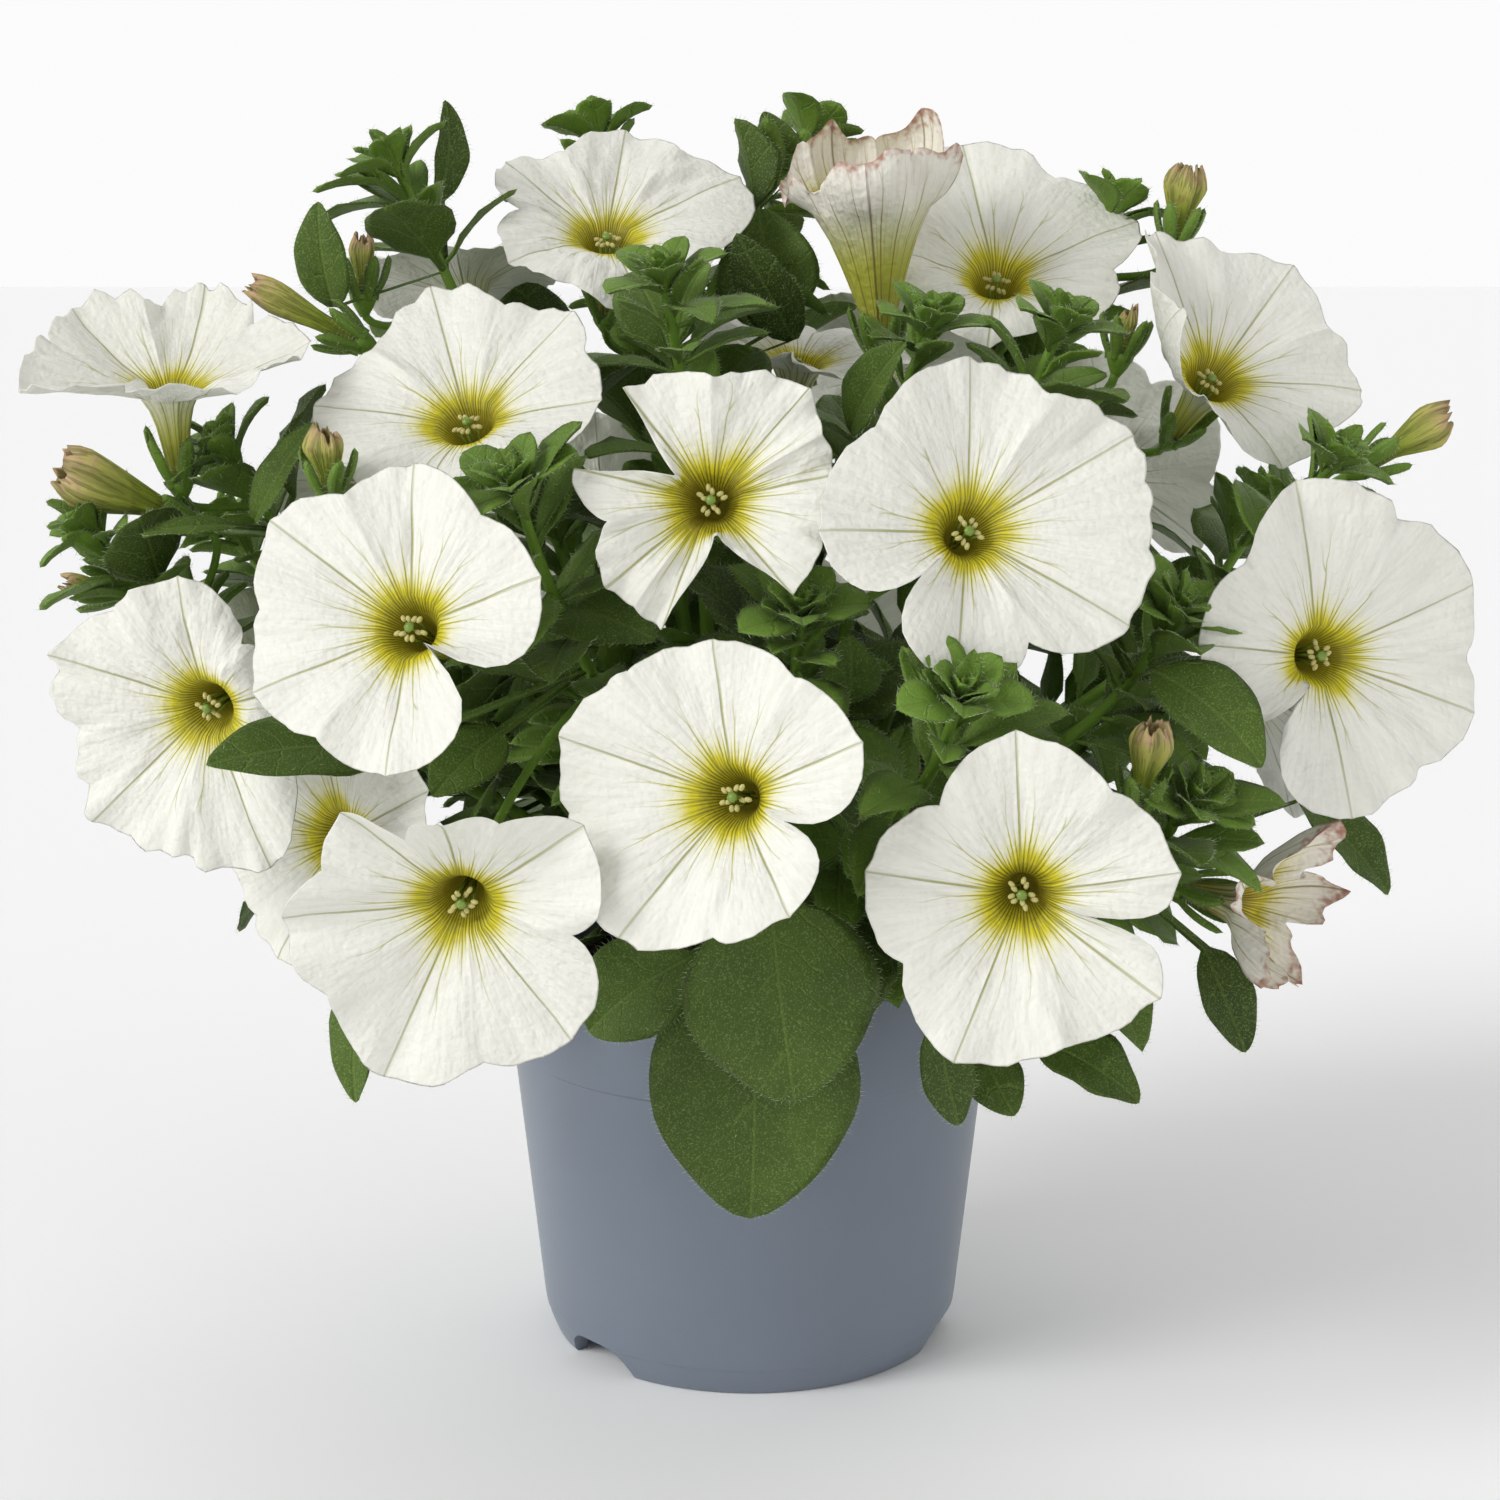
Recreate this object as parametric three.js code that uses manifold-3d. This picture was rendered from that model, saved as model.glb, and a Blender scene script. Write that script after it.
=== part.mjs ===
// Potted petunia: a nursery pot filled with potting soil, leafy shoots that stand in it,
// and white trumpet blooms, open, fading and spent, each held in the calyx of its shoot.
// Millimetres, +Z up. The origin is the middle of the pot's foot, on the surface it stands on.
// The front of the plant looks along -Y.
import * as THREE from 'three';
import { mergeVertices } from 'three/addons/utils/BufferGeometryUtils.js';
import Module from 'manifold-3d';

const wasm = await Module();
wasm.setup();

// Pot
const footRadius = 46.5;
const footInnerRadius = 43.6;
const seamRadius = 49.3;
const seamHeight = 7.2;
const ledgeRadius = 56.2;
const ledgeHeight = 72;
const bandRadius = 57;
const rimRadius = 60;
const rimHeight = 95;
const potWall = 1.3;
const floorUnderside = 7.4;
const floorTop = 9;
const potSides = 32;
const notchCount = 3;
const notchHeight = 7;
const notchHalfWidth = 11;
const firstNotchAngle = 102;

// Soil
const gap = 0.3;
const soilEdgeHeight = 83;
const soilCrown = 86;
const soilSides = 24;
const stemDepth = 14;

// Shoots
const stemBaseRadius = 2.1;
const stemTipRadius = 1.1;
const stemSides = 4;
const crownRadius = 8;
const crownSpread = 0.14;
const goldenAngle = 137.5;
const leavesOnShoot = 7;
const tipLeavesOnShoot = 6;
const leafTries = 16;
const stemTries = 40;
const leafLift = 0.4;
const leafKeel = 0.6;

// Flowers
const tubeLength = 26;
const tubeBaseRadius = 1.7;
const throatRadius = 6.5;
const throatDepth = 5;
const sepalLength = 13;
const pedicelRadius = 0.95;
const longestPedicel = 80;
const limbHalfThickness = 0.45;
const stalkHalfWidth = 1;
const clearance = 0.5;
const stemSteps = 4;
const pedicelSteps = 3;
const pedicelSides = 3;
const bellyShare = 0.42;
const bellySwell = 0.6;
const shallowCleft = 0.22;
const shallowSharpness = 1.8;
const cleftSharpness = 7;
const pleat = 1.6;
const calyxFoot = 4.6;
const calyxFloor = 1.2;
const calyxRadius = 3.1;
const sepalRadius = 2.9;
const sepalFlare = 0.3;

// Each shoot's tip, in the order in which they stand round the plant
const shootTips = [
  [-78, -5, 272], [-140, -42, 196], [-112, -34, 212], [-46, -88, 210], [-18, -40, 248],
  [-36, 50, 279], [14, 38, 278], [38, -30, 238], [66, -34, 238], [84, 20, 262],
  [123, -42, 210], [40, -110, 172], [10, -84, 184], [86, -72, 182], [88, -85, 146],
  [-62, 78, 232], [4, 92, 240], [72, 78, 226], [124, 42, 190], [-124, 38, 186],
  [-84, 88, 158], [60, 108, 168], [-112, -8, 138],
];

// Open blooms: the middle of the limb, the way it faces, and its petals. A petal is the angle
// of its tip, its reach from the middle, the depth of the cleft after it, and its curl. Where
// a cleft is wide, a fifth value says how sharply it cuts in.
const openBlooms = [
  { at: [-123, -47, 232], face: [-0.02, -0.27, 0.96],
    petals: [
      [12, 31, 0.2, 0.45], [84, 29, 0.22, 0.8], [145, 31, 0.2, 0.7],
      [208, 32, 0.6, 0.15], [303, 30, 0.15, 0.4],
    ] },
  { at: [-32, -4, 262], face: [0.05, -0.52, 0.85],
    petals: [
      [34, 38, 0.12, -0.1], [81, 40, 0.22, 0], [135, 31, 0.3, 0.1],
      [208, 25, 0.15, -0.3], [285, 28, 0.2, -0.6],
    ] },
  { at: [-60, -60, 225], face: [-0.22, -0.62, 0.75],
    petals: [
      [8, 30, 0.1, -0.1], [62, 33, 0.14, 0], [118, 38, 0.16, 0],
      [180, 34, 0.1, -0.1], [265, 25, 0.15, -0.3],
    ] },
  { at: [56, 0, 252], face: [0, -0.62, 0.78],
    petals: [
      [30, 38, 0.15, -0.1], [98, 42, 0.15, 0], [165, 24, 0.15, -0.2],
      [262, 25, 0.15, -0.4], [322, 27, 0.2, -0.3],
    ] },
  { at: [103, -25, 231], face: [0.3, -0.68, 0.67],
    petals: [
      [42, 42, 0.1, 0], [92, 38, 0.2, 0], [165, 27, 0.4, 2],
      [285, 27, 0.15, -0.3], [350, 36, 0.12, -0.2],
    ] },
  { at: [-8, -94, 210], face: [-0.05, -0.97, 0.25],
    petals: [
      [11, 25, 0.05, 0], [48, 28.5, 0.16, 0], [129, 27, 0.73, 0, 0.5],
      [168, 27.5, 0.25, 0], [222, 26.5, 0.03, 0], [251, 27.5, 0.73, 0, 0.5], [311, 25, 0.03, 0],
    ] },
  { at: [44, -99, 205], face: [0.2, -0.91, 0.35],
    petals: [
      [27, 38, 0.14, 0], [86, 34, 0.16, 0], [180, 31, 0.5, 0],
      [258, 32, 0.26, 0], [325, 36, 0.05, 0],
    ] },
  { at: [-68, -105, 187], face: [-0.28, -0.88, 0.38],
    petals: [
      [21, 29, 0.15, 0], [94, 32, 0.15, 0], [148, 35, 0.1, 0],
      [208, 33, 0.12, 0], [272, 30, 0.8, 0],
    ] },
  { at: [-116, -67, 161], face: [-0.36, -0.92, -0.15],
    petals: [
      [95, 29, 0.12, -0.3], [160, 34, 0.15, 0], [222, 39, 0.1, 0],
      [290, 36, 0.15, -0.1], [15, 22, 0.2, -1.6],
    ] },
  { at: [-57, -116, 131], face: [-0.1, -0.97, -0.22],
    petals: [
      [37, 32, 0.12, 0], [92, 25, 0.25, 0.9], [133, 30, 0.15, 0.2],
      [182, 34, 0.15, 0], [245, 41, 0.14, 0], [308, 34, 0.3, 0],
    ] },
  { at: [-5, -123, 156], face: [-0.34, -0.92, 0.2],
    petals: [
      [25, 29, 0.08, 0], [99, 30, 0.05, 0], [165, 35, 0.08, 0],
      [235, 35, 0.12, 0], [305, 26, 0.5, 0.1],
    ] },
  { at: [52, -123, 136], face: [-0.1, -0.99, 0.08],
    petals: [
      [11, 30, 0.12, 0], [93, 32, 0.22, 0], [171, 30, 0.18, 0],
      [249, 34, 0.1, 0], [325, 32, 0.62, 0],
    ] },
  { at: [121, -69, 174], face: [0.34, -0.93, 0.15],
    petals: [
      [20, 38, 0.14, 0], [100, 37, 0.15, 0], [172, 31, 0.7, 0],
      [275, 34, 0.12, 0], [338, 37, 0.1, 0],
    ] },
  { at: [-94, -40, 128], face: [-0.55, -0.8, 0.1] },
  { at: [-70, 45, 250], face: [-0.2, 0.3, 0.93] },
  { at: [12, 38, 232], face: [0.1, -0.2, 0.97] },
  { at: [-95, 72, 198], face: [-0.55, 0.75, 0.35] },
  { at: [-40, 116, 180], face: [-0.2, 0.95, 0.2] },
  { at: [34, 104, 224], face: [0.15, 0.75, 0.65] },
  { at: [95, 84, 198], face: [0.5, 0.8, 0.35] },
  { at: [20, 128, 142], face: [0.1, 0.99, 0] },
  { at: [-116, 52, 146], face: [-0.8, 0.6, 0.05] },
  { at: [128, 28, 150], face: [0.93, 0.3, 0.15] },
];

// Fading blooms: petals that have closed into a trumpet
const fadingBlooms = [
  { at: [26.5, -10.9, 269.5], face: [-0.08, -0.12, 0.98], tube: 39, throat: 13, swell: 3,
    petals: [
      [20, 23, 0.3, 1.2], [85, 31, 0.3, 2.1], [145, 29, 0.35, 2.3],
      [210, 21, 0.3, 1], [300, 24, 0.3, 2.2],
    ] },
  { at: [110, -66, 118], face: [0.85, -0.5, -0.15], tube: 20, throat: 7,
    petals: [
      [10, 27, 0.6, 1.5, 0.9], [88, 26, 0.6, 0.9, 0.9], [146, 19, 0.5, 0.1, 1],
      [222, 21, 0.5, 1.3, 1], [304, 24, 0.6, 1.2, 0.9],
    ] },
];

// Spent blooms: withered tubes, from the calyx to the crumpled end
const spentBlooms = [
  { from: [-120, -40, 198], to: [-146, -48, 211], width: 13 },
  { from: [-85, -25, 236], to: [-108, -28, 248], width: 8 },
  { from: [-86, -10, 245], to: [-86, -10, 258], width: 6 },
  { from: [-86, -70, 208], to: [-86, -74, 221], width: 8 },
  { from: [97, 10, 256], to: [100, 10, 273], width: 10 },
  { from: [134, -28, 209], to: [153, -28, 220], width: 8 },
  { from: [78, -92, 147], to: [80, -97, 165], width: 8 },
  { from: [-137, -36, 183], to: [-149, -38, 185], width: 5 },
  { from: [82, -15, 232], to: [84, -15, 242], width: 5 },
];

// Large leaves that show between the blooms: the foot and tip of the blade, its width, and
// the way its upper side looks
const namedLeaves = [
  { foot: [0, -76, 112], tip: [0, -80, 55], width: 44, face: [0, -1, 0.1] },
  { foot: [4, -94, 129], tip: [9, -98, 87], width: 40, face: [0.1, -1, 0.2] },
  { foot: [39, -80, 99], tip: [44, -78, 75], width: 12, face: [0.3, -1, 0] },
  { foot: [60, -68, 91], tip: [83, -72, 78], width: 16, face: [0, -0.6, 0.8] },
  { foot: [50, -60, 86], tip: [57, -66, 73], width: 13, face: [0.2, -0.9, 0.3] },
  { foot: [-12, -78, 112], tip: [-34, -76, 95], width: 22, face: [-0.2, -0.9, 0.3] },
  { foot: [-81, -68, 106], tip: [-84, -72, 78], width: 13, face: [-0.5, -0.8, 0.1] },
  { foot: [-74, -76, 156], tip: [-108, -98, 157], width: 21, face: [-0.1, -0.6, 0.8] },
  { foot: [-42, -70, 185], tip: [-19, -86, 180], width: 18, face: [0, -0.7, 0.7] },
  { foot: [-52, -70, 158], tip: [-65, -82, 147], width: 15, face: [0, -0.8, 0.6] },
  { foot: [10, 0, 235], tip: [-3, -8, 259], width: 14, face: [-0.4, -0.8, 0.3] },
  { foot: [22, -28, 217], tip: [33, -44, 237], width: 13, face: [-0.2, -0.7, 0.5] },
  { foot: [5, 14, 236], tip: [2, 20, 264], width: 24, face: [-0.2, -0.9, 0.2] },
  { foot: [82, -78, 173], tip: [103, -88, 155], width: 19, face: [0.2, -0.7, 0.6] },
  { foot: [120, -45, 138], tip: [139, -50, 118], width: 15, face: [0.3, -0.6, 0.7] },
  { foot: [98, -58, 108], tip: [107, -62, 86], width: 13, face: [0.4, -0.9, 0.1] },
  { foot: [88, -68, 151], tip: [100, -74, 131], width: 15, face: [0.3, -0.9, 0.2] },
  { foot: [-92, -15, 243], tip: [-94, -20, 266], width: 13, face: [-0.3, -0.9, 0] },
  { foot: [-70, 0, 266], tip: [-68, 0, 288], width: 9, face: [0.6, -0.7, 0] },
  { foot: [-84, -30, 231], tip: [-108, -40, 235], width: 8, face: [0, -0.3, 0.9] },
  { foot: [-109, -52, 199], tip: [-127, -60, 198], width: 9, face: [0, -0.3, 0.9] },
  { foot: [-105, -50, 200], tip: [-91, -54, 221], width: 9, face: [-0.6, -0.7, 0.2] },
  { foot: [12, 30, 273], tip: [3, 32, 286], width: 9, face: [-0.5, -0.6, 0.5] },
  { foot: [-10, -76, 102], tip: [3, -82, 101], width: 16, face: [0, -0.8, 0.5] },
  { foot: [20, -78, 166], tip: [20, -84, 181], width: 12, face: [0, -1, 0] },
  { foot: [-10, -58, 193], tip: [4, -74, 178], width: 13, face: [0.2, -0.8, 0.5] },
];

const zAxis = new THREE.Vector3(0, 0, 1);
const leafReference = new THREE.Vector3(0.31, 0.95, 0.05).normalize();

function vector(values) {
  return new THREE.Vector3(values[0], values[1], values[2]);
}

function along(origin, direction, distance) {
  return origin.clone().addScaledVector(direction, distance);
}

function radians(degrees) {
  return degrees * Math.PI / 180;
}

// A repeatable stream of numbers from 0 to 1
function seeded(seed) {
  let state = seed >>> 0;
  return () => {
    state = (state + 0x6d2b79f5) >>> 0;
    let mixed = state;
    mixed = Math.imul(mixed ^ (mixed >>> 15), mixed | 1);
    mixed ^= mixed + Math.imul(mixed ^ (mixed >>> 7), mixed | 61);
    return ((mixed ^ (mixed >>> 14)) >>> 0) / 4294967296;
  };
}

// A closed skin over a stack of rings, each running anticlockwise round the stack's direction.
// A ring has as many points as the one before it, twice as many, or half as many. Past the edge
// ring of a blade the squares are split the other way, so that both faces of the blade are alike.
function skin(rings, firstPole, lastPole, edge = rings.length) {
  const points = [firstPole];
  const faces = [];
  const starts = [];
  for (const ring of rings) {
    starts.push(points.length);
    points.push(...ring);
  }
  const lastIndex = points.length;
  points.push(lastPole);
  const first = rings[0].length;
  for (let i = 0; i < first; i++) {
    faces.push([0, starts[0] + (i + 1) % first, starts[0] + i]);
  }
  for (let r = 0; r + 1 < rings.length; r++) {
    const low = rings[r].length;
    const high = rings[r + 1].length;
    const a = (i) => starts[r] + i % low;
    const b = (i) => starts[r + 1] + i % high;
    for (let i = 0; i < Math.min(low, high); i++) {
      if (low === high && r < edge) {
        faces.push([a(i), a(i + 1), b(i + 1)], [a(i), b(i + 1), b(i)]);
      } else if (low === high) {
        faces.push([a(i), a(i + 1), b(i)], [a(i + 1), b(i + 1), b(i)]);
      } else if (low < high) {
        faces.push([a(i), b(2 * i + 1), b(2 * i)], [a(i), a(i + 1), b(2 * i + 1)]);
        faces.push([a(i + 1), b(2 * i + 2), b(2 * i + 1)]);
      } else {
        faces.push([a(2 * i), a(2 * i + 1), b(i)], [a(2 * i + 1), b(i + 1), b(i)]);
        faces.push([a(2 * i + 1), a(2 * i + 2), b(i + 1)]);
      }
    }
  }
  const last = rings[rings.length - 1].length;
  const lastStart = starts[starts.length - 1];
  for (let i = 0; i < last; i++) {
    faces.push([lastIndex, lastStart + i, lastStart + (i + 1) % last]);
  }
  return solidFrom(points, faces);
}

function solidFrom(points, faces) {
  const vertProperties = new Float32Array(points.flatMap((point) => [point.x, point.y, point.z]));
  const triVerts = new Uint32Array(faces.flat());
  return new wasm.Manifold(new wasm.Mesh({ numProp: 3, vertProperties, triVerts }));
}

function geometryFrom(solid) {
  const mesh = solid.getMesh();
  const geometry = new THREE.BufferGeometry();
  geometry.setAttribute('position', new THREE.BufferAttribute(new Float32Array(mesh.vertProperties), 3));
  geometry.setIndex(new THREE.BufferAttribute(new Uint32Array(mesh.triVerts), 1));
  geometry.computeVertexNormals();
  return geometry;
}

// Two directions square to an axis, the second as near to straight up as it can be
function acrossFace(axis) {
  const upward = zAxis.clone().addScaledVector(axis, -axis.z).normalize();
  const sideways = upward.clone().cross(axis);
  return [sideways, upward];
}

// Two directions square to a stem
function acrossStem(tangent) {
  const first = tangent.clone().cross(leafReference).normalize();
  const second = tangent.clone().cross(first);
  return [first, second];
}

// A round tube through points, with a radius for each
function tube(points, radii, sides, extra = 0) {
  const rings = points.map((point, i) => {
    const before = points[Math.max(i - 1, 0)];
    const after = points[Math.min(i + 1, points.length - 1)];
    const [first, second] = acrossStem(after.clone().sub(before).normalize());
    const ring = [];
    for (let k = 0; k < sides; k++) {
      const angle = 2 * Math.PI * k / sides;
      const radius = radii[i] + extra;
      ring.push(along(along(point, first, radius * Math.cos(angle)), second, radius * Math.sin(angle)));
    }
    return ring;
  });
  return skin(rings, points[0], points[points.length - 1]);
}

// A solid from one of the standard geometries, with its seam and poles closed
function solidFromGeometry(geometry) {
  geometry.deleteAttribute('normal');
  geometry.deleteAttribute('uv');
  const merged = mergeVertices(geometry, 0.001);
  const position = merged.getAttribute('position');
  const index = merged.getIndex();
  const points = [];
  const faces = [];
  for (let i = 0; i < position.count; i++) {
    points.push(new THREE.Vector3().fromBufferAttribute(position, i));
  }
  for (let i = 0; i < index.count; i += 3) {
    const face = [index.getX(i), index.getX(i + 1), index.getX(i + 2)];
    if (new Set(face).size === 3) {
      faces.push(face);
    }
  }
  return solidFrom(points, faces);
}

// A turned solid. Its profile runs from the axis at the bottom, round the outside, to the axis.
function turned(profile, sides) {
  const points = profile.map(([radius, height]) => new THREE.Vector2(radius, height));
  const lathe = new THREE.LatheGeometry(points, sides);
  lathe.rotateX(Math.PI / 2);
  return solidFromGeometry(lathe);
}

// Pot: a straight tapered wall, a ledge, a flared rim band, and a floor raised in a foot ring
// that three drain notches cut through
function pot() {
  const profile = [
    [0, floorUnderside], [footInnerRadius, floorUnderside], [footInnerRadius, 0], [footRadius, 0],
    [seamRadius, seamHeight], [ledgeRadius, ledgeHeight - 0.4], [bandRadius, ledgeHeight],
    [rimRadius, rimHeight], [rimRadius - potWall, rimHeight], [ledgeRadius - potWall, ledgeHeight],
    [seamRadius - potWall, floorTop], [0, floorTop],
  ];
  let solid = turned(profile, potSides);
  for (let i = 0; i < notchCount; i++) {
    solid = solid.subtract(drainNotch(radians(firstNotchAngle + 360 * i / notchCount)));
  }
  return solid;
}

function drainNotch(angle) {
  const arch = new THREE.Shape();
  arch.moveTo(-notchHalfWidth, -1);
  arch.lineTo(notchHalfWidth, -1);
  arch.lineTo(notchHalfWidth * 0.8, notchHeight * 0.55);
  arch.lineTo(notchHalfWidth * 0.45, notchHeight);
  arch.lineTo(-notchHalfWidth * 0.45, notchHeight);
  arch.lineTo(-notchHalfWidth * 0.8, notchHeight * 0.55);
  const depth = seamRadius - footInnerRadius + 4;
  const block = new THREE.ExtrudeGeometry(arch, { depth, bevelEnabled: false });
  block.rotateX(Math.PI / 2);
  block.translate(0, footInnerRadius - 2 + depth, 0);
  block.rotateZ(angle - Math.PI / 2);
  return solidFromGeometry(block);
}

// Soil: fills the pot to just under the rim, crowned a little, with a plain hole for each stem
function pottingSoil(stems) {
  const share = (soilEdgeHeight - ledgeHeight) / (rimHeight - ledgeHeight);
  const edge = ledgeRadius + (rimRadius - ledgeRadius) * share;
  const profile = [
    [0, floorTop + gap], [seamRadius - potWall - 1.5 * gap, floorTop + gap],
    [ledgeRadius - potWall - 1.5 * gap, ledgeHeight], [edge - potWall - 1.5 * gap, soilEdgeHeight],
    [crownRadius * 4, soilCrown - 0.4], [0, soilCrown],
  ];
  let soil = turned(profile, soilSides);
  for (const stem of stems) {
    const foot = stem.points[0];
    const top = new THREE.Vector3(foot.x, foot.y, soilCrown + 3);
    const low = along(foot, zAxis, -gap);
    const reach = stemBaseRadius + 1.5 * gap;
    soil = soil.subtract(tube([low, top], [reach, reach], stemSides));
  }
  return soil;
}

// Petals: a limb of fused petals that flares from the throat of a narrow tube
function petalAt(petals, degrees) {
  const count = petals.length;
  for (let i = 0; i < count; i++) {
    const here = petals[i];
    const before = petals[(i + count - 1) % count];
    const after = petals[(i + 1) % count];
    let offset = (degrees - here[0]) % 360;
    offset = offset > 180 ? offset - 360 : offset < -180 ? offset + 360 : offset;
    const toNext = ((after[0] - here[0] + 360) % 360) / 2;
    const toLast = ((here[0] - before[0] + 360) % 360) / 2;
    if (offset >= -toLast && offset <= toNext) {
      const share = offset >= 0 ? offset / toNext : offset / toLast;
      const neighbour = offset >= 0 ? after : before;
      const owner = offset >= 0 ? here : before;
      return { share, here, neighbour, cleft: owner[2], sharpness: owner[4] };
    }
  }
  return { share: 0, here: petals[0], neighbour: petals[0], cleft: 0 };
}

// How much of a petal's reach is left at a share of the way from its tip to its cleft
function petalOutline(share, cleft, sharpness) {
  if (sharpness) {
    return 1 - cleft * Math.pow(share, sharpness);
  }
  const shallow = Math.min(cleft, shallowCleft);
  const deep = cleft - shallow;
  return 1 - shallow * Math.pow(share, shallowSharpness) - deep * Math.pow(share, cleftSharpness);
}

// The place on the limb at an angle, from the throat at reach 0 to the edge at reach 1, as a
// distance from the axis and a height along it, with the edge's curl
function limbPlace(bloom, degrees, reach) {
  const { share, here, neighbour, cleft, sharpness } = petalAt(bloom.petals, degrees);
  const weight = 0.5 + 0.5 * Math.cos(Math.PI * share);
  const tip = here[1] * weight + 0.5 * (here[1] + neighbour[1]) * (1 - weight);
  const curl = here[3] * weight + 0.5 * (here[3] + neighbour[3]) * (1 - weight) + 0.001;
  const edge = tip * petalOutline(Math.abs(share), cleft, sharpness);
  const span = Math.max(edge - bloom.throat, 1.5);
  const radius = bloom.throat + span * Math.sin(curl * reach) / curl;
  const flare = -throatDepth * Math.pow(1 - reach, 2.2);
  const height = flare + span * (1 - Math.cos(curl * reach)) / curl
    + pleat * reach * (1 - reach) * 4 * (share * share - 0.4);
  return [radius, height];
}

function tubeRadius(bloom, share) {
  return tubeBaseRadius + (bloom.throat - tubeBaseRadius) * Math.pow(share, 2.5);
}

// Petal angles at which the limb has its points: clefts, shoulders and tips
function petalAngles(petals, pointsPerPetal) {
  const angles = [];
  petals.forEach((petal, i) => {
    const before = petals[(i + petals.length - 1) % petals.length];
    const after = petals[(i + 1) % petals.length];
    const toLast = ((petal[0] - before[0] + 360) % 360) / 2;
    const toNext = ((after[0] - petal[0] + 360) % 360) / 2;
    angles.push(petal[0] - toLast);
    if (pointsPerPetal === 4) {
      angles.push(petal[0] - 0.62 * toLast, petal[0], petal[0] + 0.62 * toNext);
    } else if (pointsPerPetal === 2) {
      angles.push(petal[0]);
    }
  });
  return angles;
}

function corolla(bloom) {
  const [sideways, upward] = acrossFace(bloom.face);
  const place = (degrees, radius, height) => {
    const angle = radians(degrees);
    const point = along(bloom.at, bloom.face, height);
    point.addScaledVector(sideways, radius * Math.cos(angle));
    return point.addScaledVector(upward, radius * Math.sin(angle));
  };
  const onAxis = (height) => along(bloom.at, bloom.face, height);
  const few = petalAngles(bloom.petals, 1);
  const some = petalAngles(bloom.petals, 2);
  const many = petalAngles(bloom.petals, 4);
  const limb = (angles, reach, side) => angles.map((degrees) => {
    const [radius, height] = limbPlace(bloom, degrees, reach);
    const [nextRadius, nextHeight] = limbPlace(bloom, degrees, reach + 0.05);
    const run = Math.hypot(nextRadius - radius, nextHeight - height);
    const outward = -(nextHeight - height) / run;
    const forward = (nextRadius - radius) / run;
    const offset = side * limbHalfThickness;
    return place(degrees, radius + outward * offset, height + forward * offset);
  });
  const neck = -bloom.tube + 0.7;
  const belly = -bloom.tube * bellyShare;
  const bellyRadius = tubeRadius(bloom, 1 - bellyShare) + bloom.swell;
  const rings = [
    few.map((degrees) => place(degrees, tubeBaseRadius, neck)),
    few.map((degrees) => place(degrees, bellyRadius, belly)),
    some.map((degrees) => place(degrees, bloom.throat + 0.4, -throatDepth)),
    limb(some, 0.5, -1),
    many.map((degrees) => place(degrees, ...limbPlace(bloom, degrees, 1))),
    limb(some, 0.5, 1),
    some.map((degrees) => place(degrees, bloom.throat - 0.6, -throatDepth + 0.6)),
  ];
  const edge = 4;
  return skin(rings, onAxis(-bloom.tube), onAxis(belly), edge);
}

// Petals for a bloom that is only seen from behind or the side, drawn by a rule
function drawnPetals(seed) {
  const random = seeded(seed);
  const first = 72 * random();
  const split = Math.floor(5 * random());
  const petals = [];
  for (let i = 0; i < 5; i++) {
    const angle = first + 72 * i + 12 * (random() - 0.5);
    const reach = 29 + 5 * random();
    const cleft = i === split ? 0.55 : 0.1 + 0.12 * random();
    petals.push([angle, reach, cleft, -0.35 + 0.5 * random()]);
  }
  return petals;
}

// Spent bloom: a withered tube that swells towards its crumpled, pinched end
function witheredTube(spent, seed) {
  const random = seeded(seed);
  const axis = spent.to.clone().sub(spent.from);
  const length = axis.length();
  axis.normalize();
  const [first, second] = acrossStem(axis);
  const stations = [[0.03, 0.26], [0.35, 0.5], [0.75, 0.95], [1, 0.85]];
  const sides = 6;
  const rings = stations.map(([share, width]) => {
    const ring = [];
    for (let k = 0; k < sides; k++) {
      const angle = 2 * Math.PI * k / sides;
      const rough = share < 0.1 ? 1 : 0.72 + 0.4 * random();
      const radius = share < 0.1 ? tubeBaseRadius : Math.max(width * spent.width / 2 * rough, 1.2);
      const lift = share > 0.8 ? 2.4 * (random() - 0.5) : 0;
      const point = along(spent.from, axis, length * share + lift);
      ring.push(along(along(point, first, radius * Math.cos(angle)), second, radius * Math.sin(angle)));
    }
    return ring;
  });
  return skin(rings, spent.from, along(spent.from, axis, length * 0.8));
}

// Calyx: a small cup that parts into five pointed sepals round the foot of a flower
function calyx(foot, axis, size) {
  const [first, second] = acrossStem(axis);
  const place = (angle, radius, height) => {
    const point = along(foot, axis, height);
    return along(along(point, first, radius * Math.cos(angle)), second, radius * Math.sin(angle));
  };
  const points = [place(0, 0, -calyxFoot), place(0, 0, -calyxFloor)];
  const length = size * sepalLength;
  const faces = [];
  const step = 2 * Math.PI / 5;
  for (let i = 0; i < 5; i++) {
    const angle = step * i;
    points.push(place(angle - step / 2, calyxRadius, 0.6), place(angle, 0.7 * calyxRadius, 0.9));
    points.push(place(angle, sepalRadius + sepalFlare * length, 0.95 * length));
  }
  for (let i = 0; i < 5; i++) {
    const notch = 2 + 3 * i;
    const inner = notch + 1;
    const tip = notch + 2;
    const next = 2 + 3 * ((i + 1) % 5);
    faces.push([0, next, notch], [notch, next, tip], [inner, notch, tip], [next, inner, tip]);
    faces.push([1, notch, inner], [1, inner, next]);
  }
  return solidFrom(points, faces);
}

// A leaf blade with its stalk: flat above, with a keel along the midrib below, and edges that
// are lifted a little. Both faces of each half are split into triangles alike.
const leafOutline = (share) => Math.pow(Math.sin(Math.PI * Math.pow(share, 0.8)), 0.8);

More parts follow.
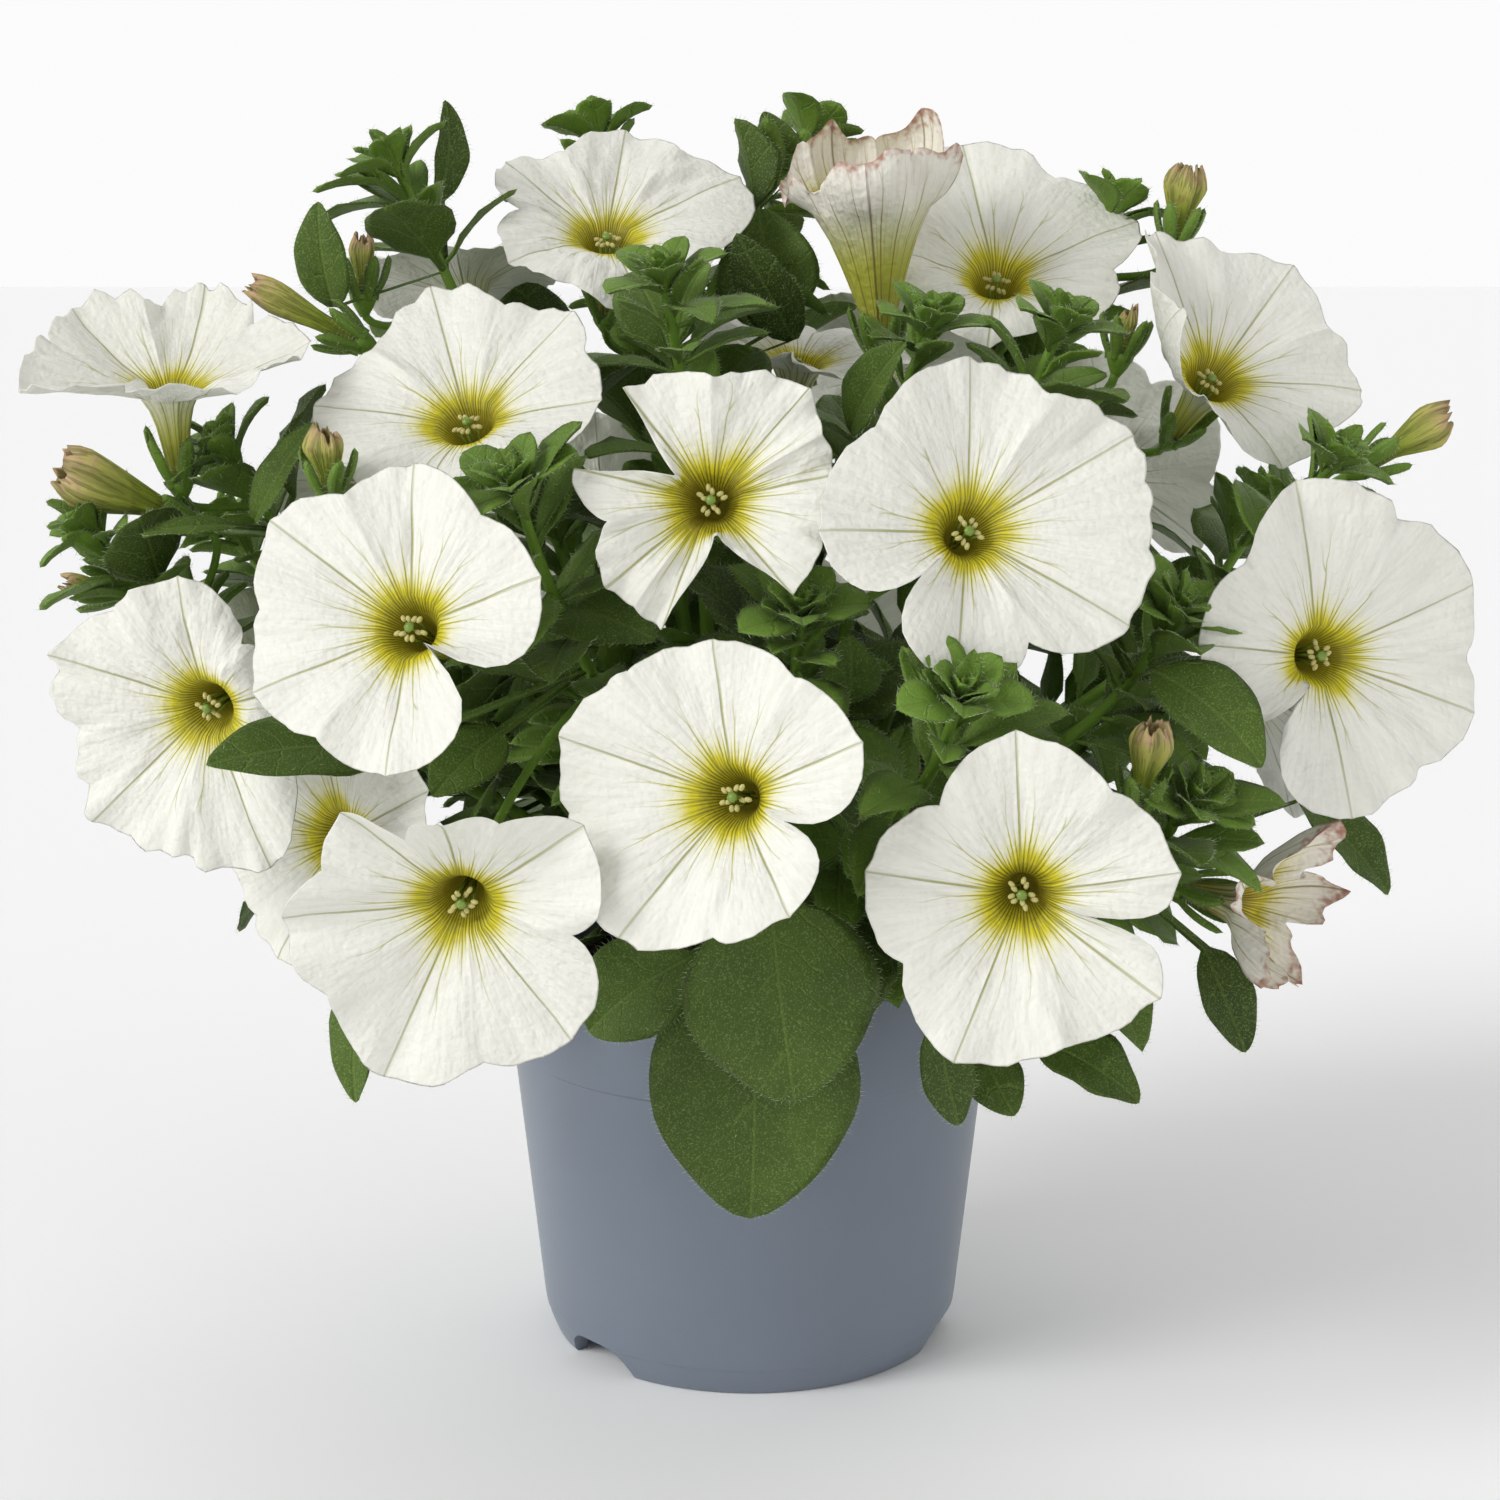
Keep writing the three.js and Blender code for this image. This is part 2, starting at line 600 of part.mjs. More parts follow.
function leaf({ root, foot, tip, width, face, arch, rows }, thickness = 1, extra = 0) {
  const line = tip.clone().sub(foot);
  const length = line.length();
  const side = line.clone().cross(face).normalize();
  const upper = side.clone().cross(line).normalize();
  const points = [root];
  for (const [share, keel] of rows) {
    const half = (share === 0 ? stalkHalfWidth : leafOutline(share) * width / 2) + extra;
    const middle = along(foot.clone().lerp(tip, share), upper, arch * length * 4 * share * (1 - share));
    const edge = along(middle, upper, leafLift * keel * thickness);
    points.push(along(edge, side, half), along(edge, side, -half));
    points.push(along(middle, upper, -leafKeel * keel * thickness));
  }
  points.push(along(tip, line.normalize(), extra));
  const end = points.length - 1;
  const faces = [[0, 1, 2], [0, 2, 3], [0, 3, 1]];
  for (let r = 0; r + 1 < rows.length; r++) {
    const [right, left, under] = [1, 2, 3].map((k) => 3 * r + k);
    const [right2, left2, under2] = [4, 5, 6].map((k) => 3 * r + k);
    faces.push([right, right2, left2], [right, left2, left]);
    faces.push([left, left2, under2], [left, under2, under]);
    faces.push([under2, right2, right], [under2, right, under]);
  }
  faces.push([end, end - 2, end - 3], [end, end - 1, end - 2], [end, end - 3, end - 1]);
  return solidFrom(points, faces);
}

// Everything that stands in the plant so far, each thing with the node it belongs to
const placed = [];

function stand(node, kind, solid) {
  placed.push({ node, kind, solid, box: solid.boundingBox() });
}

function boxesMeet(a, b) {
  return [0, 1, 2].every((k) => a.min[k] < b.max[k] && b.min[k] < a.max[k]);
}

function meets(solid, other) {
  const shared = solid.intersect(other);
  const volume = shared.volume();
  shared.delete();
  return volume > 0.001;
}

// True where a slightly fattened solid stays out of everything that the filter keeps
function clears(solid, keep) {
  const box = solid.boundingBox();
  return placed.every((item) => !keep(item) || !boxesMeet(box, item.box) || !meets(solid, item.solid));
}

// One body from pieces that are sunk into each other: a hollow that they seal is filled, and a
// scrap that touches nothing is dropped
function fused(pieces) {
  const bodies = pieces.reduce((whole, piece) => whole.add(piece)).decompose();
  return bodies.reduce((largest, body) => (body.volume() > largest.volume() ? body : largest));
}

function flower(entry, seed) {
  const { at, face, petals, tube: length = tubeLength, throat = throatRadius } = entry;
  const { swell = bellySwell } = entry;
  const bloom = { at: vector(at), face: vector(face).normalize(), tube: length, throat, swell };
  bloom.petals = petals ?? drawnPetals(seed);
  bloom.foot = along(bloom.at, bloom.face, -length);
  return bloom;
}

// Shoot: a stem that rises from the soil and leans out towards its tip
function stemTry(index, attempt) {
  const random = seeded(1000 * index + 17 * attempt);
  const tip = vector(shootTips[index]);
  const reach = Math.hypot(tip.x, tip.y);
  const angle = Math.atan2(tip.y, tip.x) + 0.12 * attempt * (random() - 0.5);
  const ring = crownRadius + crownSpread * reach + attempt * (random() - 0.5);
  const outward = new THREE.Vector3(Math.cos(angle), Math.sin(angle), 0);
  const neck = along(new THREE.Vector3(0, 0, soilCrown + 2), outward, ring);
  const foot = along(neck, zAxis, -2 - stemDepth);
  const rise = tip.distanceTo(neck);
  const first = along(along(neck, zAxis, 0.34 * rise), outward, 0.04 * rise);
  const lean = along(zAxis.clone().multiplyScalar(0.9), outward, 0.4).normalize();
  const second = along(tip, lean, -0.34 * rise);
  for (const control of [first, second]) {
    const sway = 3 * attempt;
    control.x += sway * (random() - 0.5);
    control.y += sway * (random() - 0.5);
    control.z += sway * (random() - 0.5);
  }
  const curve = new THREE.CubicBezierCurve3(neck, first, second, tip);
  const points = [foot, ...curve.getPoints(stemSteps)];
  const radii = points.map((point, i) => {
    return THREE.MathUtils.lerp(stemBaseRadius, stemTipRadius, Math.max(i - 1, 0) / stemSteps);
  });
  return { index, points, radii };
}

function onStem(stem, share) {
  const place = Math.min(share, 0.9999) * stemSteps;
  const step = Math.floor(place);
  const start = stem.points[1 + step];
  const end = stem.points[2 + step];
  return { point: start.clone().lerp(end, place - step), tangent: end.clone().sub(start).normalize() };
}

function growStem(index) {
  for (let attempt = 0; attempt < stemTries; attempt++) {
    const stem = stemTry(index, attempt);
    const fat = tube(stem.points, stem.radii, stemSides, clearance);
    if (clears(fat, () => true)) {
      return stem;
    }
  }
  throw new Error(`no room for the stem of shoot ${index + 1}`);
}

// Pedicel: the slim stalk that carries a calyx from a stem
function pedicelTry(stem, share, foot, axis, bow) {
  const { point, tangent } = onStem(stem, share);
  const end = along(foot, axis, -2.6);
  const span = end.distanceTo(point);
  const first = along(along(point, tangent, 0.3 * span), zAxis, bow * span);
  const second = along(end, axis, -0.35 * span);
  const curve = new THREE.CubicBezierCurve3(point, first, second, end);
  return curve.getPoints(pedicelSteps);
}

function growPedicel(stems, foot, axis) {
  const wanted = along(along(foot, axis, -14), zAxis, -10);
  const tries = [];
  for (const stem of stems) {
    for (let step = 0; step < 8; step++) {
      const share = 0.2 + 0.1 * step;
      const distance = onStem(stem, share).point.distanceTo(wanted);
      for (const bow of [0, 0.25, -0.25]) {
        tries.push({ stem, share, bow, cost: distance + 12 * Math.abs(bow) });
      }
    }
  }
  tries.sort((a, b) => a.cost - b.cost);
  const radii = new Array(pedicelSteps + 1).fill(pedicelRadius);
  for (const { stem, share, bow } of tries) {
    const points = pedicelTry(stem, share, foot, axis, bow);
    if (points[0].distanceTo(foot) > longestPedicel) {
      continue;
    }
    const fat = tube(points, radii, pedicelSides, clearance);
    if (clears(fat, (item) => item.node !== stem.node)) {
      return { stem, solid: tube(points, radii, pedicelSides) };
    }
  }
  return null;
}

const largeRows = [[0, 1.3], [0.36, 1.4], [0.72, 1.1]];
const mediumRows = [[0.32, 1.4], [0.72, 1.1]];
const smallRows = [[0.45, 1.2]];

function tryLeaf(stem, shape, kind) {
  const fat = leaf(shape, 2, clearance);
  if (!clears(fat, (item) => item.node !== stem.node)) {
    return false;
  }
  const blade = { ...shape, root: shape.foot.clone().lerp(shape.tip, 0.08), rows: mediumRows };
  const own = (item) => item.node === stem.node && item.kind !== 'stem' && item.kind !== 'tip leaf';
  if (kind !== 'tip leaf' && !clears(leaf(blade, 1, 0), own)) {
    return false;
  }
  stand(stem.node, kind, leaf(shape));
  return true;
}

function growNamedLeaf(stems, { foot, tip, width, face }) {
  const wanted = along(vector(foot), zAxis, -8);
  const tries = [];
  for (const stem of stems) {
    for (let step = 0; step < 9; step++) {
      const place = onStem(stem, 0.08 + 0.1 * step).point;
      tries.push({ stem, place, cost: place.distanceTo(wanted) });
    }
  }
  tries.sort((a, b) => a.cost - b.cost);
  const shape = { width, face: vector(face), arch: 0.06, rows: largeRows };
  return [0, 3, -3, 6, -6, 10].some((deeper) => {
    const shift = new THREE.Vector3(0, deeper, 0);
    const moved = { ...shape, foot: vector(foot).add(shift), tip: vector(tip).add(shift) };
    return tries.some(({ stem, place }) => tryLeaf(stem, { ...moved, root: place }, 'leaf'));
  });
}

// A direction that leans away from a stem by the polar angle, turned round the stem
function leaning(tangent, turn, polar) {
  const [first, second] = acrossStem(tangent);
  const radial = first.multiplyScalar(Math.cos(turn)).addScaledVector(second, Math.sin(turn));
  return radial.multiplyScalar(Math.sin(polar)).addScaledVector(tangent, Math.cos(polar));
}

// A leaf by the rule of the stem: each a golden angle on from the last, shorter towards the tip
function ruledLeaf(stem, number, count, attempt) {
  const random = seeded(100000 + 1000 * stem.index + 20 * number + attempt);
  const share = 0.08 + 0.8 * number / (count - 1);
  const { point, tangent } = onStem(stem, share);
  const turn = radians(goldenAngle * number + 50 * stem.index + 30 * attempt * (random() - 0.5));
  const polar = radians(76 - 30 * share + 6 * attempt * (random() - 0.5));
  const length = (58 - 26 * share) * (0.85 + 0.3 * random()) * (1 - 0.03 * attempt);
  const direction = leaning(tangent, turn, polar);
  const tip = along(along(point, direction, length), zAxis, -0.14 * length);
  const face = along(tangent, zAxis, 0.5);
  const foot = along(point, direction, 0.18 * length);
  return { root: point, foot, tip, width: 0.58 * length, face, arch: 0.07, rows: mediumRows };
}

// Small leaves crowded round the growing tip
function tipLeaf(stem, number, count, attempt) {
  const random = seeded(500000 + 1000 * stem.index + 20 * number + attempt);
  const age = number / (count - 1);
  const { point, tangent } = onStem(stem, 0.9 + 0.1 * age);
  const turn = radians(goldenAngle * number + 30 * stem.index + 20 * attempt * (random() - 0.5));
  const polar = radians(66 - 48 * age + 5 * attempt * (random() - 0.5));
  const length = (22 - 10 * age) * (0.85 + 0.3 * random());
  const direction = leaning(tangent, turn, polar);
  const tip = along(point, direction, length);
  const root = along(point, tangent, -0.3);
  const width = 0.38 * length;
  return { root, foot: point, tip, width, face: tangent, arch: 0.06, rows: smallRows };
}

function growLeaves(stem, count, kind, shapeOf) {
  for (let number = 0; number < count; number++) {
    for (let attempt = 0; attempt < leafTries; attempt++) {
      if (tryLeaf(stem, shapeOf(stem, number, count, attempt), kind)) {
        break;
      }
    }
  }
}

// Materials, with the colours of the plant
const material = (color, roughness) => new THREE.MeshStandardMaterial({ color, roughness, metalness: 0 });
const potPlastic = material('#8f979f', 0.5);
const soilPeat = material('#2e241c', 0.95);
const leafGreen = material('#3f6a2c', 0.65);
const petalWhite = material('#f1f1ec', 0.6);
const fadingCream = material('#ece6cf', 0.65);
const witheredOchre = material('#b9a25a', 0.75);

const pad = (number) => String(number).padStart(2, '0');

function node(name, solid, finish) {
  const mesh = new THREE.Mesh(geometryFrom(solid), finish);
  mesh.name = name;
  return mesh;
}

// The plant grows in this order: flowers where they show, stems up between them, pedicels and
// calyces, then leaves in the room that is left
function pottedPetunia() {
  const plant = new THREE.Group();
  const potSolid = pot();
  stand('pot', 'pot', potSolid);

  const flowers = [];
  openBlooms.forEach((entry, i) => {
    flowers.push({ name: `bloom_${pad(i + 1)}`, finish: petalWhite, ...flower(entry, 900 + i), size: 1 });
  });
  fadingBlooms.forEach((entry, i) => {
    flowers.push({ name: `fading_bloom_${pad(i + 1)}`, finish: fadingCream, ...flower(entry, 0), size: 1 });
  });
  for (const bloom of flowers) {
    bloom.solid = corolla(bloom);
  }
  spentBlooms.forEach(({ from, to, width }, i) => {
    const spent = { from: vector(from), to: vector(to), width };
    const face = spent.to.clone().sub(spent.from).normalize();
    const name = `spent_bloom_${pad(i + 1)}`;
    const solid = witheredTube(spent, 700 + i);
    flowers.push({ name, finish: witheredOchre, foot: spent.from, face, size: 0.75, solid });
  });
  for (const bloom of flowers) {
    stand(bloom.name, 'flower', bloom.solid);
  }

  const stems = [];
  shootTips.forEach((tip, i) => {
    const stem = growStem(i);
    stem.node = `shoot_${pad(i + 1)}`;
    stand(stem.node, 'stem', tube(stem.points, stem.radii, stemSides));
    stems.push(stem);
  });
  const soil = pottingSoil(stems);
  stand('potting_soil', 'soil', soil);

  for (const bloom of flowers) {
    const found = growPedicel(stems, bloom.foot, bloom.face);
    if (found === null) {
      console.warn(`${bloom.name} has no pedicel`);
      continue;
    }
    stand(found.stem.node, 'pedicel', found.solid);
    stand(found.stem.node, 'calyx', calyx(bloom.foot, bloom.face, bloom.size));
  }
  namedLeaves.forEach((entry, i) => {
    if (!growNamedLeaf(stems, entry)) {
      console.warn(`large leaf ${i + 1} has no room`);
    }
  });
  for (const stem of stems) {
    growLeaves(stem, tipLeavesOnShoot, 'tip leaf', tipLeaf);
  }
  for (const stem of stems) {
    growLeaves(stem, leavesOnShoot, 'leaf', ruledLeaf);
  }

  plant.add(node('pot', potSolid, potPlastic));
  plant.add(node('potting_soil', soil, soilPeat));
  for (const stem of stems) {
    const pieces = placed.filter((item) => item.node === stem.node).map((item) => item.solid);
    plant.add(node(stem.node, fused(pieces), leafGreen));
  }
  for (const bloom of flowers) {
    plant.add(node(bloom.name, bloom.solid, bloom.finish));
  }
  return plant;
}

export default pottedPetunia();
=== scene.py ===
"""Potted petunia: the looks of the part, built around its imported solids. Metres, +Z up."""

import math

import bpy
import numpy as np
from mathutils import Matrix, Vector, kdtree
from mathutils.bvhtree import BVHTree


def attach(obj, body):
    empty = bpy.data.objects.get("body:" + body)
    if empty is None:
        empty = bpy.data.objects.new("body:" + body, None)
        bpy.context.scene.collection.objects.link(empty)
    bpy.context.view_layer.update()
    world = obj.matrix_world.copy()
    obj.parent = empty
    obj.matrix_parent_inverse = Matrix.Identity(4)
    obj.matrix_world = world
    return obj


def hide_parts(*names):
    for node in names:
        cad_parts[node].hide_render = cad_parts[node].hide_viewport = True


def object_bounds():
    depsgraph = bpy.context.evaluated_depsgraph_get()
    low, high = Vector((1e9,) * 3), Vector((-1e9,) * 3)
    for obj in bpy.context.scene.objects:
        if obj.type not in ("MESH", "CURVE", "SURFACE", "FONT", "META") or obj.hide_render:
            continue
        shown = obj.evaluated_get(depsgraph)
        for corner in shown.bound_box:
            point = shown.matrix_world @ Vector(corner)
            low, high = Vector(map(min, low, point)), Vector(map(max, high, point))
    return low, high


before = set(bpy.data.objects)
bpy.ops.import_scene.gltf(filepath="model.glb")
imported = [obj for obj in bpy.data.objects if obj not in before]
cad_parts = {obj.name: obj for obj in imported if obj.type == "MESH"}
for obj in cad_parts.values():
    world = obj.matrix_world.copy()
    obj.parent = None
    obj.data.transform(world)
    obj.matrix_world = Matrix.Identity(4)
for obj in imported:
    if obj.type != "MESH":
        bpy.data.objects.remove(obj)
cad_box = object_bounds()


# Nursery pot. One thin shell of grey-blue polypropylene, injection moulded: a straight taper,
# a small ledge under the rim band, and a foot ring that three drain notches interrupt.
MM = 0.001
POT_SIDES = 192
POT_CORNERS = [
    (43.6, 7.4, 0.6), (43.6, 0, 0.5), (46.5, 0, 0.9), (48.3, 4.1, 0.9), (48.95, 6.5, 0.2),
    (49.15, 6.7, 0.15), (49.5, 8.8, 0.9), (56.2, 71.5, 0.25), (57, 72, 0.25),
    (60, 95, 0.6), (58.7, 95, 0.6), (54.9, 72, 1.5), (48, 9, 2.5),
]
POT_BASE = 7.4
POT_FLOOR = 9
NOTCH_ANGLES = (102, 222, 342)
NOTCH_SPAN = (40, 56)
NOTCH_OUTLINE = [
    (-11, -2, 0), (11, -2, 0), (10.4, 1.5, 1.0), (8.8, 4.6, 2.0), (4.95, 7, 3.0),
    (-4.95, 7, 3.0), (-8.8, 4.6, 2.0), (-10.4, 1.5, 1.0),
]


def rounded(corners, steps=4):
    """The outline through corners of (x, y, rounding), each corner turned into a short arc."""
    outline = []
    for i, (x, y, reach) in enumerate(corners):
        here = np.array([x, y], float)
        ends = []
        for j in (i - 1, (i + 1) % len(corners)):
            way = np.array(corners[j][:2], float) - here
            ends.append(here + way * min(reach / np.linalg.norm(way), 0.45))
        if reach == 0:
            outline.append(here)
            continue
        for t in np.linspace(0, 1, steps + 1):
            outline.append((1 - t) ** 2 * ends[0] + 2 * t * (1 - t) * here + t * t * ends[1])
    return [tuple(p) for p in outline]


def new_piece(name, points, faces, materials, tints=None, values=None):
    """A smooth mesh from points in millimetres. tints gives each face its material's number."""
    mesh = bpy.data.meshes.new(name)
    mesh.from_pydata((np.asarray(points, float) * MM).tolist(), [], [list(f) for f in faces])
    for material in materials:
        mesh.materials.append(material)
    if tints is not None:
        mesh.polygons.foreach_set("material_index", np.asarray(tints, np.int32))
    for key, numbers in (values or {}).items():
        numbers = np.asarray(numbers, np.float32)
        kind = "FLOAT" if numbers.ndim == 1 else "FLOAT_VECTOR"
        attribute = mesh.attributes.new(key, kind, "POINT")
        attribute.data.foreach_set("value" if kind == "FLOAT" else "vector", numbers.ravel())
    mesh.polygons.foreach_set("use_smooth", np.ones(len(mesh.polygons), bool))
    mesh.update()
    piece = bpy.data.objects.new(name, mesh)
    bpy.context.scene.collection.objects.link(piece)
    return piece


def settled(piece):
    """The piece with its modifiers turned into plain mesh."""
    bpy.context.view_layer.update()
    graph = bpy.context.evaluated_depsgraph_get()
    made = bpy.data.meshes.new_from_object(piece.evaluated_get(graph), depsgraph=graph)
    piece.modifiers.clear()
    piece.data = made
    return piece


def tube_faces(rows, sides, start=0):
    """Faces of a closed tube: a pole, rings of points, and a pole, counted from start."""
    first, last, top = start + 1, start + 1 + (rows - 1) * sides, start + 1 + rows * sides
    faces = [(start, first + (k + 1) % sides, first + k) for k in range(sides)]
    for a in range(first, last, sides):
        b = a + sides
        faces += [(a + k, a + (k + 1) % sides, b + (k + 1) % sides, b + k) for k in range(sides)]
    return faces + [(top, last + k, last + (k + 1) % sides) for k in range(sides)]


def turned(profile, sides, low_pole, high_pole):
    """Points and faces of a closed turned shape. The profile runs up the outside."""
    points = [(0, 0, low_pole)]
    for radius, height in profile:
        for k in range(sides):
            angle = 2 * math.pi * k / sides
            points.append((radius * math.cos(angle), radius * math.sin(angle), height))
    points.append((0, 0, high_pole))
    return points, tube_faces(len(profile), sides)


def linear(code):
    """A colour for a node socket from its sRGB hex code."""
    parts = [int(code[i:i + 2], 16) / 255 for i in (1, 3, 5)]
    return [c / 12.92 if c <= 0.04045 else ((c + 0.055) / 1.055) ** 2.4 for c in parts] + [1]


def add(tree, kind, inputs=None, **settings):
    """Adds a node, sets what is named, and fills its inputs with values or links."""
    node = tree.nodes.new(kind)
    for key, value in settings.items():
        setattr(node, key, value)
    for key, value in (inputs or {}).items():
        if isinstance(value, bpy.types.NodeSocket):
            tree.links.new(value, node.inputs[key])
        else:
            node.inputs[key].default_value = value
    return node


def new_material(name):
    """A node material with nothing in it but its output."""
    material = bpy.data.materials.new(name)
    material.use_nodes = True
    material.node_tree.nodes.clear()
    return material, material.node_tree, add(material.node_tree, "ShaderNodeOutputMaterial")


def math_node(tree, operation, *values, clamp=False):
    """The result of one sum on numbers or sockets."""
    inputs = dict(enumerate(values))
    return add(tree, "ShaderNodeMath", inputs, operation=operation, use_clamp=clamp).outputs[0]


def sums(tree, value, *steps):
    """Runs steps of (operation, number or socket) on a value, one after the other."""
    for operation, other in steps:
        value = math_node(tree, operation, value, other)
    return value


def noise(tree, vector, scale, detail=2.0):
    """A cloudy value from 0 to 1. In object space a scale of 1000 has spots of about 1 mm."""
    inputs = {"Vector": vector, "Scale": scale, "Detail": detail}
    return add(tree, "ShaderNodeTexNoise", inputs).outputs["Fac"]


def fact(tree, name, output="Fac"):
    """What the points of the mesh know under a name."""
    return add(tree, "ShaderNodeAttribute", attribute_name=name).outputs[output]


def object_place(tree):
    return add(tree, "ShaderNodeTexCoord").outputs["Object"]


def bumped(tree, height, strength, distance):
    inputs = {"Height": height, "Strength": strength, "Distance": distance}
    return add(tree, "ShaderNodeBump", inputs).outputs[0]


def coat(tree, surface, colour, roughness, **inputs):
    """Ends a material with one shader. An input's name has _ for its blanks."""
    named = {key.replace("_", " "): value for key, value in inputs.items()}
    shader = add(tree, "ShaderNodeBsdfPrincipled", {
        "Base Color": colour, "Roughness": roughness, **named,
    })
    tree.links.new(shader.outputs[0], surface.inputs["Surface"])


def ramp(tree, value, low, high, to_low=0.0, to_high=1.0):
    """A smooth step from to_low to to_high as value goes from low to high."""
    node = add(tree, "ShaderNodeMapRange", {
        "Value": value, "From Min": low, "From Max": high, "To Min": to_low, "To Max": to_high,
    }, interpolation_type="SMOOTHSTEP")
    return node.outputs["Result"]


def blend(tree, share, first, second):
    """A colour between two, each a hex code or a socket."""
    node = add(tree, "ShaderNodeMix", {"Factor": share}, data_type="RGBA")
    for socket, colour in ((node.inputs[6], first), (node.inputs[7], second)):
        if isinstance(colour, str):
            socket.default_value = linear(colour)
        else:
            tree.links.new(colour, socket)
    return node.outputs[2]


# Polypropylene, injection moulded in a satin mould: a soft broad highlight, with a very
# faint unevenness where the melt shrank.
polypropylene, tree, surface = new_material("polypropylene_satin_moulded")
place = object_place(tree)
satin = bumped(tree, noise(tree, place, 1400.0), 0.12, 0.0003)
colour = blend(tree, noise(tree, place, 35.0, 3.0), "#6c7582", "#737c89")
coat(tree, surface, colour, 0.36, IOR=1.49, Normal=satin)

profile = rounded([(0, POT_BASE, 0)] + POT_CORNERS + [(0, POT_FLOOR, 0)])[1:-1]
points, faces = turned(profile, POT_SIDES, POT_BASE, POT_FLOOR)
nursery_pot = new_piece("nursery_pot", points, faces, [polypropylene])
notch_outline = rounded(NOTCH_OUTLINE, 5)
for i, degrees in enumerate(NOTCH_ANGLES):
    turn = math.radians(degrees)
    corners = []
    for distance in NOTCH_SPAN:
        for x, z in notch_outline:
            corners.append((
                distance * math.cos(turn) - x * math.sin(turn),
                distance * math.sin(turn) + x * math.cos(turn), z,
            ))
    n = len(notch_outline)
    walls = [(k, (k + 1) % n, n + (k + 1) % n, n + k) for k in range(n)]
    walls += [tuple(reversed(range(n))), tuple(range(n, 2 * n))]
    cutter = new_piece(f"notch_cutter_{i}", corners, walls, [])
    cut = nursery_pot.modifiers.new("notch", "BOOLEAN")
    cut.operation = "DIFFERENCE"
    cut.object = cutter
    cut.solver = "EXACT"
    settled(nursery_pot)
    bpy.data.objects.remove(cutter)
nursery_pot.data.set_sharp_from_angle(angle=math.radians(38))
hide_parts("pot")
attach(nursery_pot, "root")


# Potting soil. Damp black peat in crumbs, with a few white grains of perlite, that fills the
# pot to a finger's width under the rim.
SOIL_PROFILE = [(47.5, 9.3), (54.4, 72), (56, 78), (56.2, 82.2)]
SOIL_RINGS = [55, 52, 48, 43, 38, 33, 28, 23, 18, 13, 8.5, 4]
SOIL_SIDES = 72
SOIL_EDGE = 83
SOIL_CROWN = 86
CRUMB_RADIUS = 1.1
CRUMBS_PER_SQUARE_METRE = 150000
PERLITE_PER_SQUARE_METRE = 6000

peat, tree, surface = new_material("damp_peat")
place = object_place(tree)
fibres = bumped(tree, noise(tree, place, 1500.0, 3.0), 0.8, 0.0008)
lumps = ramp(tree, noise(tree, place, 260.0, 6.0), 0.3, 0.7)
coat(tree, surface, blend(tree, lumps, "#17110c", "#3d2e22"), 0.95, Normal=fibres)

# Perlite, expanded volcanic glass: dull chalk-white grains with pits.
perlite, tree, surface = new_material("perlite_grain")
pits = noise(tree, object_place(tree), 1800.0)
coat(tree, surface, blend(tree, pits, "#b5b0a4", "#ddd9cf"), 0.9)


def new_growth_tree(name, inputs):
    """An empty Geometry Nodes tree with named inputs, its input node, and its output node."""
    tree = bpy.data.node_groups.new(name, "GeometryNodeTree")
    tree.interface.new_socket("Geometry", in_out="INPUT", socket_type="NodeSocketGeometry")
    for title, kind in inputs:
        tree.interface.new_socket(title, in_out="INPUT", socket_type=kind)
    tree.interface.new_socket("Geometry", in_out="OUTPUT", socket_type="NodeSocketGeometry")
    return tree, add(tree, "NodeGroupInput"), add(tree, "NodeGroupOutput")


def grow_on(piece, tree, values):
    """Runs a growth tree on the piece and leaves plain mesh."""
    modifier = piece.modifiers.new(tree.name, "NODES")
    modifier.node_group = tree
    for item in tree.interface.items_tree:
        if item.in_out == "INPUT" and item.name in values:
            modifier[item.identifier] = values[item.name]
    return settled(piece)


def strew(tree, carrier, copy, rotation, scale, material, whole):
    """Sets copies of a small mesh on points, coats them and joins them to the rest."""
    copies = add(tree, "GeometryNodeInstanceOnPoints", {
        "Points": carrier, "Instance": copy, "Rotation": rotation, "Scale": scale,
    })
    real = add(tree, "GeometryNodeRealizeInstances", {"Geometry": copies.outputs[0]})
    coated = add(tree, "GeometryNodeSetMaterial", {"Geometry": real.outputs[0], "Material": material})
    tree.links.new(coated.outputs[0], whole.inputs[0])


def random_vector(tree, low, high, seed):
    inputs = {"Min": low, "Max": high, "Seed": seed}
    return add(tree, "FunctionNodeRandomValue", inputs, data_type="FLOAT_VECTOR").outputs[0]


crumbs, given, result = new_growth_tree("soil_crumbs", [
    ("Per square metre", "NodeSocketFloat"), ("Crumb radius", "NodeSocketFloat"),
    ("Seed", "NodeSocketInt"), ("Material", "NodeSocketMaterial"),
])
faces_up = []
for kind, least in (("GeometryNodeInputNormal", 0.6), ("GeometryNodeInputPosition", 80 * MM)):
    parts = add(crumbs, "ShaderNodeSeparateXYZ", {"Vector": add(crumbs, kind).outputs[0]})
    more = add(crumbs, "FunctionNodeCompare", {0: parts.outputs[2], 1: least}, operation="GREATER_THAN")
    faces_up.append(more.outputs[0])
on_top = add(crumbs, "FunctionNodeBooleanMath", dict(enumerate(faces_up)), operation="AND")
spots = add(crumbs, "GeometryNodeDistributePointsOnFaces", {
    "Mesh": given.outputs["Geometry"], "Selection": on_top.outputs[0],
    "Density": given.outputs["Per square metre"], "Seed": given.outputs["Seed"],
})
ball = add(crumbs, "GeometryNodeMeshIcoSphere", {
    "Radius": given.outputs["Crumb radius"], "Subdivisions": 1,
})
spin = random_vector(crumbs, (0, 0, 0), (6.28, 6.28, 6.28), 3)
size = random_vector(crumbs, (0.4, 0.4, 0.3), (1.6, 1.5, 1.1), 4)
whole = add(crumbs, "GeometryNodeJoinGeometry")
